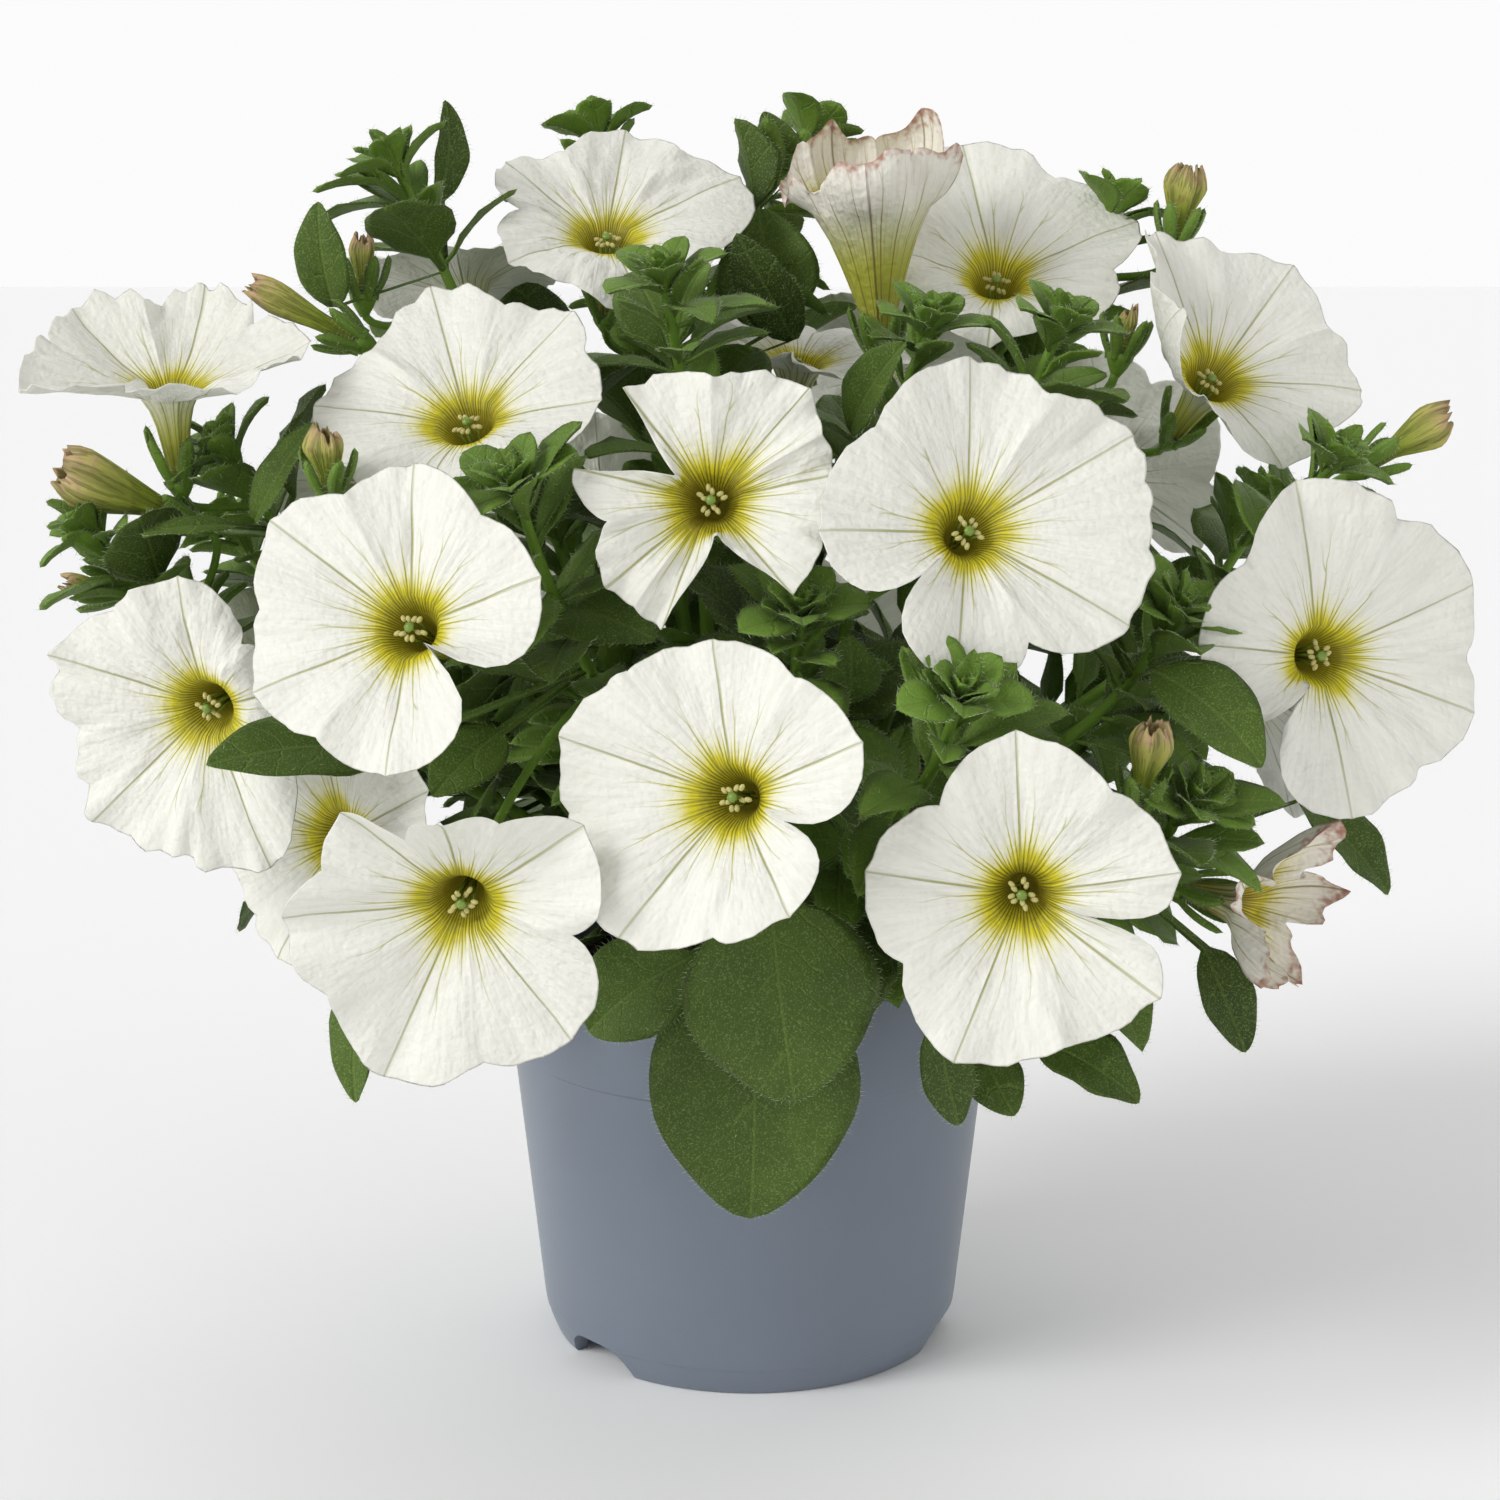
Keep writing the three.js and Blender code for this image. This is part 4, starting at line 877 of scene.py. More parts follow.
# What the solids hold: a stem, pedicels and leaves for each shoot. A leaf that the solids leave
# out, for want of room, is left out here too.
stems = [stem for stem in map(find_stem, range(len(SHOOT_TIPS))) if stem]
grown = {stem["node"]: {"stem": stem, "pedicels": [], "leaves": []} for stem in stems}
for bloom in blooms:
    found = find_pedicel(stems, bloom)
    if found:
        grown[found[0]["node"]]["pedicels"].append((found[1], bloom))
for entry in LARGE_LEAVES:
    found = find_large_leaf(stems, entry)
    if found:
        grown[found[0]["node"]]["leaves"].append(found[1])
for stem in stems:
    for count, shape_of in ((TIP_LEAVES, tip_leaf), (LEAVES_ON_SHOOT, ruled_leaf)):
        for number in range(count):
            tries = (shape_of(stem, number, attempt) for attempt in range(TRIES))
            leaf = next((leaf for leaf in tries if marked(stem["node"], [leaf["tip"]])), None)
            if leaf:
                grown[stem["node"]]["leaves"].append(leaf)

# Side leaves fill the plant between its large leaves. Each grows where it clears the flowers
# and the other leaves.
SIDE_LEAVES = 20
SIDE_TRIES = 14
BLOOM_GAP = 2.2
LEAF_GAP = 1.0
SIDE_GAP = 2.5
BOX_GAP = 2
LOWEST_LEAF = 78
lowest, highest = (np.array(corner) / MM for corner in cad_box)


def kept_inside(piece, soft=4.0, spare=0.1):
    """Bends what would reach past the box of the solids softly back into it."""
    vertices = piece.data.vertices
    spots = np.empty(len(vertices) * 3, np.float32)
    vertices.foreach_get("co", spots)
    spots = spots.reshape(-1, 3) / MM
    middle, half = (highest + lowest) / 2, (highest - lowest) / 2 - spare
    over = np.maximum(np.abs(spots - middle) - (half - soft), 0)
    spots -= np.sign(spots - middle) * (over - soft * np.tanh(over / soft))
    vertices.foreach_set("co", (spots * MM).astype(np.float32).ravel())
    piece.data.update()


def tree_of(names):
    """A search tree over the faces of several solids, in millimetres."""
    points, faces = [], []
    for name in names:
        start = len(points)
        points += marks[name][1].tolist()
        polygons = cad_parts[name].data.polygons
        faces += [tuple(start + k for k in face.vertices) for face in polygons]
    return BVHTree.FromPolygons(points, faces)


def samples_on(leaf):
    """Points along the middle and the edges of a blade."""
    line = leaf["tip"] - leaf["foot"]
    side = unit(np.cross(line, leaf["face"])) * leaf["width"] / 2
    middle = [leaf["foot"] + share * line for share in (0.25, 0.5, 0.75, 1)]
    places = [(share, way) for share in (0.3, 0.6) for way in (-0.9, 0.9)]
    return middle + [leaf["foot"] + share * line + way * side for share, way in places]


def is_clear(leaf, blooms_tree, others_tree, own_tree, taken):
    """Whether a side leaf keeps off the box's walls, the flowers and all other leaves."""
    spots = samples_on(leaf)
    for spot in spots:
        if (spot < lowest + BOX_GAP).any() or (spot > highest - BOX_GAP).any() or spot[2] < LOWEST_LEAF:
            return False
        near_bloom = blooms_tree.find_nearest(spot, BLOOM_GAP)[0]
        if near_bloom or others_tree.find_nearest(spot, LEAF_GAP)[0]:
            return False
    if any(own_tree.find_nearest(spot, LEAF_GAP)[0] for spot in spots[1:]):
        return False
    return not len(taken) or min(np.linalg.norm(taken - spot, axis=1).min() for spot in spots) > SIDE_GAP


bloom_nodes = [name for name in marks if "bloom" in name]
blooms_tree = tree_of(bloom_nodes)
taken_spots = np.zeros((0, 3))
for name, shoot in grown.items():
    stem = shoot["stem"]
    draw = stream(20000 + stem["index"])
    others = tree_of([other for other in marks if other != name and other not in bloom_nodes])
    own = tree_of([name])
    for number in range(SIDE_LEAVES):
        for attempt in range(SIDE_TRIES):
            share = 0.15 + 0.84 * draw()
            point, tangent, smooth = on_stem(stem, share)
            way = leaning(tangent, 6.28 * draw(), math.radians(40 + 45 * draw()))
            length = (38 - 17 * share) * (0.7 + 0.5 * draw())
            leaf = {
                "root": smooth, "foot": smooth + 0.16 * length * way,
                "width": (0.42 + 0.12 * draw()) * length,
                "tip": smooth + way * length - 0.1 * length * UP, "face": tangent + 0.4 * UP,
                "arch": 0.08, "kind": "side",
            }
            if is_clear(leaf, blooms_tree, others, own, taken_spots):
                shoot["leaves"].append(leaf)
                taken_spots = np.concatenate([taken_spots, samples_on(leaf)])
                break

# Leaf tissue, matt and soft: a dark green blade with a paler midrib, faint side veins that curve
# towards the tip, a fine speckle of glands, and each leaf in a tone of its own.
leaf_tissue, tree, surface = new_material("petunia_leaf")
VEIN_SPACING = 8.0
place = object_place(tree)
along = fact(tree, "along")
aside = math_node(tree, "ABSOLUTE", fact(tree, "across"))
tone, rim = fact(tree, "tone"), fact(tree, "rim")
mottle, speckle = noise(tree, place, 130.0, 3.0), noise(tree, place, 2600.0, 1.0)
clouds = noise(tree, place, 55.0, 1.0)
bend = sums(tree, aside, ("POWER", 1.6), ("MULTIPLY", 0.12))
slant = sums(tree, aside, ("MULTIPLY", 0.45), ("ADD", bend))
slant = sums(tree, along, ("SUBTRACT", slant), ("ADD", math_node(tree, "MULTIPLY", mottle, 9.0)))
off_vein = sums(tree, slant, ("DIVIDE", VEIN_SPACING), ("FRACT", 0), ("SUBTRACT", 0.5), ("ABSOLUTE", 0))
side_vein = sums(tree, ramp(tree, off_vein, 0.0, 0.06, 1.0, 0.0),
                 ("MULTIPLY", ramp(tree, along, 1.0, 4.0, 0.0, 0.6)))
on_blade = ramp(tree, along, STALK_PLACE + 10.0, STALK_PLACE + 11.0)
midrib = ramp(tree, aside, 0.1, 0.6, 0.8, 0.0)
veins = sums(tree, midrib, ("MULTIPLY", 0.75), ("MAXIMUM", side_vein), ("MULTIPLY", on_blade))
blade = blend(tree, tone, "#2c3e0c", "#6d9030")
blade = blend(tree, ramp(tree, clouds, 0.4, 0.7, 0.0, 0.3), blade, "#5f7826")
blade = blend(tree, ramp(tree, mottle, 0.4, 0.72, 0.0, 0.35), blade, "#35490c")
blade = blend(tree, ramp(tree, speckle, 0.5, 0.72, 0.0, 0.42), blade, "#8ba05c")
blade = blend(tree, math_node(tree, "MULTIPLY", veins, 0.36), blade, "#7d9844")
blade = blend(tree, ramp(tree, rim, 0.4, 1.0, 0.0, 0.12), blade, "#8fa85a")
sunk = sums(tree, midrib, ("MAXIMUM", side_vein), ("MULTIPLY", 1.2))
height = sums(tree, speckle, ("MULTIPLY", 0.5), ("SUBTRACT", sunk),
              ("ADD", math_node(tree, "MULTIPLY", mottle, 2.0)))
coat(tree, surface, blend(tree, on_blade, "#66882a", blade), 0.62, Specular_IOR_Level=0.32,
     Normal=bumped(tree, height, 0.5, 0.0006), Sheen_Weight=0.15, Sheen_Roughness=0.35,
     Sheen_Tint=linear("#d0dcb0"))

# Plant hairs: short, clear and stiff, drawn a little thicker than life so that they show.
clear_hair, tree, surface = new_material("petunia_hair")
patches = noise(tree, object_place(tree), 90.0)
coat(tree, surface, blend(tree, patches, "#9db37a", "#cfdab8"), 0.5)

hairs, given, result = new_growth_tree("short_hairs", [
    ("Per square metre", "NodeSocketFloat"), ("Rim spacing", "NodeSocketFloat"),
    ("Hair length", "NodeSocketFloat"), ("Hair radius", "NodeSocketFloat"),
    ("Seed", "NodeSocketInt"), ("Material", "NodeSocketMaterial"),
])
fuzz = add(hairs, "GeometryNodeInputNamedAttribute", {"Name": "fuzz"}, data_type="FLOAT")
rim = add(hairs, "GeometryNodeInputNamedAttribute", {"Name": "rim"}, data_type="FLOAT")
way = add(hairs, "GeometryNodeInputNamedAttribute", {"Name": "hair"}, data_type="FLOAT_VECTOR")
density = add(hairs, "ShaderNodeMath", {
    0: fuzz.outputs["Attribute"], 1: given.outputs["Per square metre"],
}, operation="MULTIPLY")
spots = add(hairs, "GeometryNodeDistributePointsOnFaces", {
    "Mesh": given.outputs["Geometry"], "Density": density.outputs[0], "Seed": given.outputs["Seed"],
})
on_rim = add(hairs, "FunctionNodeCompare", {0: rim.outputs["Attribute"], 1: 0.98},
             operation="GREATER_THAN")
edges = add(hairs, "GeometryNodeMeshToCurve", {
    "Mesh": given.outputs["Geometry"], "Selection": on_rim.outputs[0],
})
even = add(hairs, "GeometryNodeResampleCurve", {
    "Curve": edges.outputs[0], "Length": given.outputs["Rim spacing"],
}, mode="LENGTH")
cone = add(hairs, "GeometryNodeMeshCone", {
    "Vertices": 3, "Radius Top": 0.0, "Radius Bottom": given.outputs["Hair radius"],
    "Depth": given.outputs["Hair length"],
})
HAIR_TILT = 0.55
tilt = random_vector(hairs, (-HAIR_TILT,) * 3, (HAIR_TILT,) * 3, 7)
straight = add(hairs, "ShaderNodeVectorMath", {0: way.outputs["Attribute"]}, operation="NORMALIZE")
leaned = add(hairs, "ShaderNodeVectorMath", {0: straight.outputs[0], 1: tilt}, operation="ADD")
aligned = add(hairs, "FunctionNodeAlignEulerToVector", {"Vector": leaned.outputs[0]}, axis="Z")
grade = add(hairs, "FunctionNodeRandomValue", {"Min": 0.55, "Max": 1.3, "Seed": 8}, data_type="FLOAT")
whole = add(hairs, "GeometryNodeJoinGeometry")
for carrier in (spots.outputs["Points"], even.outputs[0]):
    strew(hairs, carrier, cone.outputs["Mesh"], aligned.outputs[0], grade.outputs[1],
          given.outputs["Material"], whole)
hairs.links.new(given.outputs["Geometry"], whole.inputs[0])
hairs.links.new(whole.outputs[0], result.inputs[0])

# Rows, columns, hairs on the face, stalk width and outline of each kind of leaf
LEAF_KINDS = {
    "large": (15, 10, 0.6, 0.9, ovate), "leaf": (9, 8, 0.35, 0.9, ovate),
    "side": (7, 4, 0.8, 0.6, ovate), "tip": (6, 6, 1.2, 0.5, spoon),
}
STEM_SIDES, STEM_ROWS = 8, 20
PEDICEL_SIDES, PEDICEL_ROWS = 6, 12
YOUNG_LEAVES = 11
YOUNG_LENGTH = 16.5
HAIRS_PER_SQUARE_METRE = 30000.0
RIM_SPACING, HAIR_LENGTH, HAIR_RADIUS = 0.95, 1.15, 0.05


def add_young_leaves(growth, stem, draw):
    """The rosette at a growing tip, too small and close for the solids to hold."""
    tangent, top = on_stem(stem, 1)[1], stem["controls"][3]
    for k in range(YOUNG_LEAVES):
        way = leaning(tangent, math.radians(GOLDEN_ANGLE * k + 60), math.radians(74 - 6.4 * k))
        length = YOUNG_LENGTH - 1.15 * k
        young = {
            "root": top - 0.8 * tangent, "foot": top + 0.1 * length * way,
            "tip": top + length * way + 0.2 * k * tangent, "width": 0.68 * length,
            "face": tangent, "arch": 0.09,
        }
        add_blade(growth, young, draw, 6, 6, 0.8 + 0.3 * draw(), 1.5, 0.5, 0.12, spoon)


for name, shoot in grown.items():
    stem = shoot["stem"]
    draw = stream(40000 + stem["index"])
    growth = Growth()
    shares = np.linspace(0, 1, STEM_ROWS)
    path = [stem["foot"]] + [bezier(stem["controls"], s) for s in shares]
    radii = [STEM_RADIUS] + [STEM_RADIUS - STEM_TAPER * s for s in shares]
    add_stalk(growth, path, radii, STEM_SIDES, 0.5, 2)
    for controls, bloom in shoot["pedicels"]:
        shares = np.linspace(0, 1, PEDICEL_ROWS)
        path = [bezier(controls, s) for s in shares]
        radii = [PEDICEL_RADIUS - 0.1 * math.sin(math.pi * s) for s in shares]
        add_stalk(growth, path, radii, PEDICEL_SIDES, 0.6, 7)
        add_calyx(growth, bloom, draw)
    for leaf in shoot["leaves"]:
        rows, columns, fuzz, stalk, outline = LEAF_KINDS[leaf["kind"]]
        tone = 0.38 * draw() if leaf["kind"] in ("large", "leaf") else 0.5 + 0.5 * draw()
        add_blade(growth, leaf, draw, rows, columns, tone, fuzz, stalk, None, outline)
    add_young_leaves(growth, stem, draw)
    known = {key: np.concatenate(parts) for key, parts in growth.known.items()}
    piece = new_piece("leafy_" + name, np.concatenate(growth.points), growth.faces,
                      [leaf_tissue, clear_hair], values=known)
    grow_on(piece, hairs, {
        "Per square metre": HAIRS_PER_SQUARE_METRE, "Rim spacing": RIM_SPACING * MM,
        "Hair length": HAIR_LENGTH * MM, "Hair radius": HAIR_RADIUS * MM,
        "Seed": 11 + stem["index"], "Material": clear_hair,
    })
    kept_inside(piece)
    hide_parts(name)
    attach(piece, "root")


# Open blooms. Each corolla is one thin sheet: a narrow tube that flares into a wide limb of
# fused petals, with a vein down the middle of each and a yellow, dark-veined throat.
HALF_PETAL = [0, 0.05, 0.12, 0.22, 0.34, 0.46, 0.58, 0.7, 0.81, 0.9, 0.96]
LIMB_ROWS = [0, 0.06, 0.14, 0.23, 0.33, 0.43, 0.53, 0.63, 0.73, 0.82, 0.91, 0.985, 1]
TUBE_ROWS = [0.0, 0.12, 0.28, 0.45, 0.62, 0.8, 0.92]
THROAT_DEPTH = 5
TUBE_FOOT_RADIUS = 1.7
PETAL_THICKNESS = 0.42
WAVES = (2, 4, 7, 11)
FRILLS = {"open": (17, 23, 31), "fading": (8, 13, 19)}
HALF_LIFT = 4.6
CREASE_DEPTH = 0.45
FURROW_DEPTH = 0.40
DENTS = 6
DENT_DEPTH = 0.16


def petal_columns(petals):
    """For each meridian of the limb: its angle, share of the half petal, and petal facts."""
    columns = []
    count = len(petals)
    shares = [-1] + [-s for s in reversed(HALF_PETAL[1:])] + HALF_PETAL
    for i, here in enumerate(petals):
        before, after = petals[i - 1], petals[(i + 1) % count]
        to_last = (here[0] - before[0]) % 360 / 2
        to_next = (after[0] - here[0]) % 360 / 2
        for share in shares:
            near, width, owner = (after, to_next, here) if share >= 0 else (before, to_last, before)
            columns.append((here[0] + share * width, share, width, here, near, owner, i))
    return columns


def petal_outline(off, cleft, sharpness=None):
    """How much of a petal's reach is left at a share of the way from its tip to its cleft."""
    if sharpness:
        return 1 - cleft * off ** sharpness
    shallow = min(cleft, 0.22)
    return 1 - shallow * off ** 1.8 - (cleft - shallow) * off ** 7


def limb_grid(bloom, draw, crumple):
    """The meridians of the limb, and the radius and height for each row and meridian."""
    columns = petal_columns(bloom["petals"])
    waves = [(k, 6.28 * draw(), 0.6 + 0.8 * draw()) for k in WAVES]
    kind = "open" if bloom["node"].startswith("bloom") else "fading"
    frills = [(k, 6.28 * draw(), 0.3 + draw()) for k in FRILLS[kind]]
    halves = [[HALF_LIFT * (draw() - 0.5) for _ in range(2)] for _ in bloom["petals"]]
    ruffle = [0.3 + 1.2 * draw() for _ in bloom["petals"]]
    dents = [(9 + 16 * draw(), 5 + 9 * draw(), 6.28 * draw(), 6.28 * draw()) for _ in range(DENTS)]
    radius = np.zeros((len(LIMB_ROWS), len(columns)))
    height = np.zeros_like(radius)
    for c, (angle, share, width, here, near, owner, petal) in enumerate(columns):
        turn, off = math.radians(angle), abs(share)
        weight = 0.5 + 0.5 * math.cos(math.pi * share)
        tip = here[1] * weight + 0.5 * (here[1] + near[1]) * (1 - weight)
        curl = here[3] * weight + 0.5 * (here[3] + near[3]) * (1 - weight) + 0.001
        edge = tip * petal_outline(off, owner[2], *owner[4:])
        edge *= 1 + 0.005 * sum(a * math.sin(k * turn + p) for k, p, a in frills)
        edge += 0.5 * math.exp(-(share * width / 2.0) ** 2)
        span = max(edge - bloom["throat"], 1.5)
        wave = sum(a * math.sin(k * turn + p) / k ** 0.6 for k, p, a in waves)
        frill = sum(a * math.sin(k * turn + p) for k, p, a in frills)
        half = halves[petal][share > 0] * math.sin(math.pi * off) + 1.3 * (off - 0.4)
        for r, reach in enumerate(LIMB_ROWS):
            radius[r, c] = bloom["throat"] + span * math.sin(curl * reach) / curl
            flare = -THROAT_DEPTH * (1 - reach) ** 2.2 + span * (1 - math.cos(curl * reach)) / curl
            pleat = 1.6 * reach * (1 - reach) * 4 * (share * share - 0.4)
            belly = math.sin(math.pi * min(reach * 1.1, 1)) ** 0.5
            arc = math.radians(width) * radius[r, c]
            crease = -CREASE_DEPTH * math.exp(-(off * arc / 1.2) ** 2)
            furrow = -FURROW_DEPTH * math.exp(-((1 - off) * arc / 1.6) ** 2)
            dent = sum(math.sin(k * off * width / 40 + p) * math.sin(w * reach + q)
                       for k, w, p, q in dents)
            height[r, c] = flare + pleat + (crease + furrow) * belly
            height[r, c] += crumple * reach ** 1.5 * (1.5 * wave + half)
            height[r, c] += crumple * ruffle[petal] * 0.45 * frill * reach ** 4
            height[r, c] += DENT_DEPTH * dent * min(reach * 3, 1)
    return columns, radius, height


def add_corolla(bloom, draw, crumple):
    """Points, faces and what each point knows, for a whole corolla: up the outside of the tube,
    out under the limb, back over it, and down into the throat."""
    columns, radius, height = limb_grid(bloom, draw, crumple)
    face = bloom["face"]
    upward = unit(UP - face[2] * face)
    sideways = np.cross(upward, face)
    angles = np.radians([column[0] for column in columns])
    ways = np.cos(angles)[:, None] * sideways + np.sin(angles)[:, None] * upward
    lobe = np.abs([column[1] for column in columns])
    widths = np.radians([column[2] for column in columns])
    tube, throat = bloom["tube"], bloom["throat"]
    belly_height = -0.42 * tube
    belly = TUBE_FOOT_RADIUS + (throat - TUBE_FOOT_RADIUS) * 0.58 ** 2.5 + bloom["swell"]
    levels = [-tube + 0.7 + (tube - 0.7 - THROAT_DEPTH) * s for s in TUBE_ROWS]

    def tube_radius(level):
        if level < belly_height:
            share = (level + tube - 0.7) / (belly_height + tube - 0.7)
            return TUBE_FOOT_RADIUS + (belly - TUBE_FOOT_RADIUS) * max(share, 0) ** 1.3
        share = (level - belly_height) / (-THROAT_DEPTH - belly_height)
        return belly + (throat - belly) * share ** 1.25

    front = bloom["at"] + radius[:, :, None] * ways + height[:, :, None] * face
    slope = np.gradient(front, axis=0)
    around = np.roll(front, -1, axis=1) - np.roll(front, 1, axis=1)
    normal = np.cross(slope, around)
    normal /= np.maximum(np.linalg.norm(normal, axis=2, keepdims=True), 1e-9)
    normal *= np.sign((normal @ face).sum()) or 1
    taper = PETAL_THICKNESS * (1 - 0.75 * np.array(LIMB_ROWS))[:, None, None]
    back = front - normal * taper
    steps = np.linalg.norm(np.diff(front, axis=0), axis=2).mean(axis=1)
    run = np.concatenate([[0], np.cumsum(steps)])
    tone = np.full(len(columns), 3.7 * bloom["tone"])
    spokes = np.stack([np.cos(angles), np.sin(angles), tone], axis=1)
    rows, facts = [], []

    def take(row, along, spread, inner, reach=0.0):
        rows.append(row)
        flat = [np.full(len(columns), value) for value in (along, inner, reach)]
        facts.append((flat[0], lobe, spread, flat[1], spokes, flat[2]))

    ribs = 0.2 * np.cos(2 * math.pi * lobe)
    for level in levels:
        spot = bloom["at"] + level * face
        outer = tube_radius(level) + 0.3 + ribs * (level > -tube + 3)
        take(spot + outer[:, None] * ways,
             level + THROAT_DEPTH, tube_radius(level) * widths, 0.0)
    for r in range(len(LIMB_ROWS) - 1):
        take(back[r], run[r], radius[r] * widths, 0.0, LIMB_ROWS[r])
    for r in reversed(range(len(LIMB_ROWS))):
        take(front[r], run[r], radius[r] * widths, 1.0, LIMB_ROWS[r])
    for level in reversed(levels[2:]):
        spot = bloom["at"] + level * face
        take(spot + (tube_radius(level) - 0.15) * ways, level + THROAT_DEPTH,
             tube_radius(level) * widths, 1.0)
    points = np.concatenate([[bloom["foot"]], *rows, [bloom["at"] + (levels[2] - 1) * face]])
    faces = tube_faces(len(rows), len(columns))
    ends = [(-tube, 0, 1, 0.0, [1, 0, 0], 0.0), (levels[2], 0, 1, 1.0, [1, 0, 0], 0.0)]
    known = {}
    for i, key in enumerate(("along", "lobe", "spread", "inner", "spoke", "reach")):
        middle = np.concatenate([fact[i] for fact in facts])
        known[key] = np.concatenate([[ends[0][i]], middle, [ends[1][i]]])
    return points, faces, known


def petal_material(name, colours, flame):
    """Petal tissue: thin, soft and matt, creased outwards like crepe with painted grey shade along
    the crepe streaks, and with veins that run out from the throat, fork and fade. flame is how far the
    yellow reaches, in millimetres."""
    material, tree, surface = new_material(name)
    place = object_place(tree)
    along, lobe, spread, inner = (fact(tree, key) for key in ("along", "lobe", "spread", "inner"))
    spoke = fact(tree, "spoke", "Vector")
    outward = add(tree, "ShaderNodeCombineXYZ", {2: math_node(tree, "MULTIPLY", along, 0.006)})
    drawn_out = add(tree, "ShaderNodeVectorMath", {0: spoke, 1: outward.outputs[0]})
    streaks = noise(tree, drawn_out.outputs[0], 22.0)
    patch, pick = noise(tree, spoke, 1.6, 0.0), noise(tree, spoke, 11.0, 0.0)
    fine = noise(tree, place, 600.0, 1.0)
    wander = sums(tree, noise(tree, place, 170.0, 0.0), ("SUBTRACT", 0.5),
                  ("MULTIPLY", ramp(tree, along, 2.0, 24.0, 0.02, 0.22)))
    bent = math_node(tree, "ADD", lobe, wander)

    def veins(count, width, near, far, fork):
        """Lines that run out from the throat, count to a half petal. Each forks twice and fades
        at a reach of its own between near and far."""
        line = sums(tree, bent, ("MULTIPLY", float(count)), ("FRACT", 0),
                    ("SUBTRACT", 0.5), ("ABSOLUTE", 0))
        for start, opening in ((fork, 0.2), (fork + 6, 0.09)):
            first = sums(tree, pick, ("MULTIPLY", 8.0), ("ADD", float(start)))
            gap = math_node(tree, "DIVIDE", math_node(tree, "SUBTRACT", along, first), 9.0, clamp=True)
            gap = math_node(tree, "MULTIPLY", gap, opening)
            line = sums(tree, line, ("SUBTRACT", gap), ("ABSOLUTE", 0))
        line = sums(tree, line, ("DIVIDE", float(count)), ("MULTIPLY", spread))
        reach = sums(tree, pick, ("MULTIPLY", float(far - near)), ("ADD", float(near)),
                     ("SUBTRACT", along))
        fade = math_node(tree, "DIVIDE", reach, 7.0, clamp=True)
        return math_node(tree, "MULTIPLY", ramp(tree, line, 0.0, width, 1.0, 0.0), fade)

    middle = math_node(tree, "MULTIPLY", lobe, spread)
    midvein = math_node(tree, "MULTIPLY", ramp(tree, middle, 0.05, 0.34, 1.0, 0.0),
                        ramp(tree, along, 12.0, 32.0, 1.0, 0.6))
    coarse, forked = veins(2, 0.24, 5.0, 23.0, 4), veins(4, 0.2, 2.0, 14.0, 2)
    throat_veins = veins(5, 0.26, 2.0, 9.0, 1)
    lines = math_node(tree, "MAXIMUM", math_node(tree, "MULTIPLY", coarse, 0.75),
                      math_node(tree, "MULTIPLY", forked, 0.65))
    lines = math_node(tree, "MAXIMUM", lines, math_node(tree, "MULTIPLY", midvein, 0.85))

    # The front: white, then a yellow star that runs out along the veins, then the dark throat, with
    # painted shade further down the tube
    feather = sums(tree, coarse, ("MAXIMUM", forked), ("MULTIPLY", 4.5))
    reach = sums(tree, along, ("SUBTRACT", feather),
                 ("SUBTRACT", math_node(tree, "MULTIPLY", patch, 5.0)), ("ADD", 2.5))
    # Painted shade: the petal turns a warm grey along the crepe streaks
    petal = blend(tree, ramp(tree, streaks, 0.35, 0.75, 0.0, 0.8), colours["petal"], colours["crease"])
    front = blend(tree, ramp(tree, reach, flame, flame + 5.0, 0.4, 0.0), petal, colours["halo"])
    front = blend(tree, ramp(tree, reach, flame - 2.0, flame + 1.5, 1.0, 0.0), front, colours["flame"])
    vein_colour = blend(tree, ramp(tree, along, 5.0, 20.0), colours["vein"], colours["far_vein"])
    front = blend(tree, lines, front, vein_colour)
    front = blend(tree, ramp(tree, reach, -3.0, 1.5, 0.85, 0.0), front, colours["throat"])
    dark = math_node(tree, "MULTIPLY", throat_veins, ramp(tree, along, -0.5, 4.5, 0.85, 0.0))
    front = blend(tree, dark, front, colours["throat_vein"])
    # Painted shade: the inside of the tube darkens to olive further down, away from the light
    front = blend(tree, ramp(tree, along, -12.0, -4.0, 0.6, 0.0), front, colours["deep"])

    # The back: a yellow-green tube whose ribs run out into the limb
    tube = ramp(tree, math_node(tree, "SUBTRACT", along, feather), -14.0, 5.0, 0.95, 0.0)
    back = blend(tree, tube, petal, colours["tube"])
    rib = sums(tree, coarse, ("MULTIPLY", 0.8), ("MAXIMUM", math_node(tree, "MULTIPLY", midvein, 0.9)),
               ("MULTIPLY", ramp(tree, along, 0.0, 12.0, 0.9, 0.4)))
    back = blend(tree, rib, back, colours["rib"])
    colour = blend(tree, inner, back, front)
    if "rim" in colours:
        worn = sums(tree, lobe, ("MULTIPLY", -0.35),
                    ("ADD", math_node(tree, "MULTIPLY", fact(tree, "reach"), 3.0)),
                    ("ADD", math_node(tree, "MULTIPLY", fine, 1.5)))
        colour = blend(tree, ramp(tree, worn, *colours["worn"]), colour, colours["rim"])

    # Crepe relief, and a painted glow in the throat that stands in for daylight through its thin wall
    height = sums(tree, streaks, ("MULTIPLY", 0.8),
                  ("SUBTRACT", math_node(tree, "MULTIPLY", midvein, 0.85)),
                  ("ADD", math_node(tree, "MULTIPLY", fine, 1.2)))
    # Painted glow: the inside of the throat gives off a little light of its own colour
    painted_throat_glow = math_node(tree, "MULTIPLY", inner, ramp(tree, along, -1.0, 3.0, 0.16, 0.0))
    coat(tree, surface, colour, 0.62, Normal=bumped(tree, height, 0.6, 0.0006),
         Emission_Color=colour, Emission_Strength=painted_throat_glow)
    # So weak a glow lights nothing else, so the rays needn't seek it out as a lamp
    material.cycles.emission_sampling = "NONE"
    return material
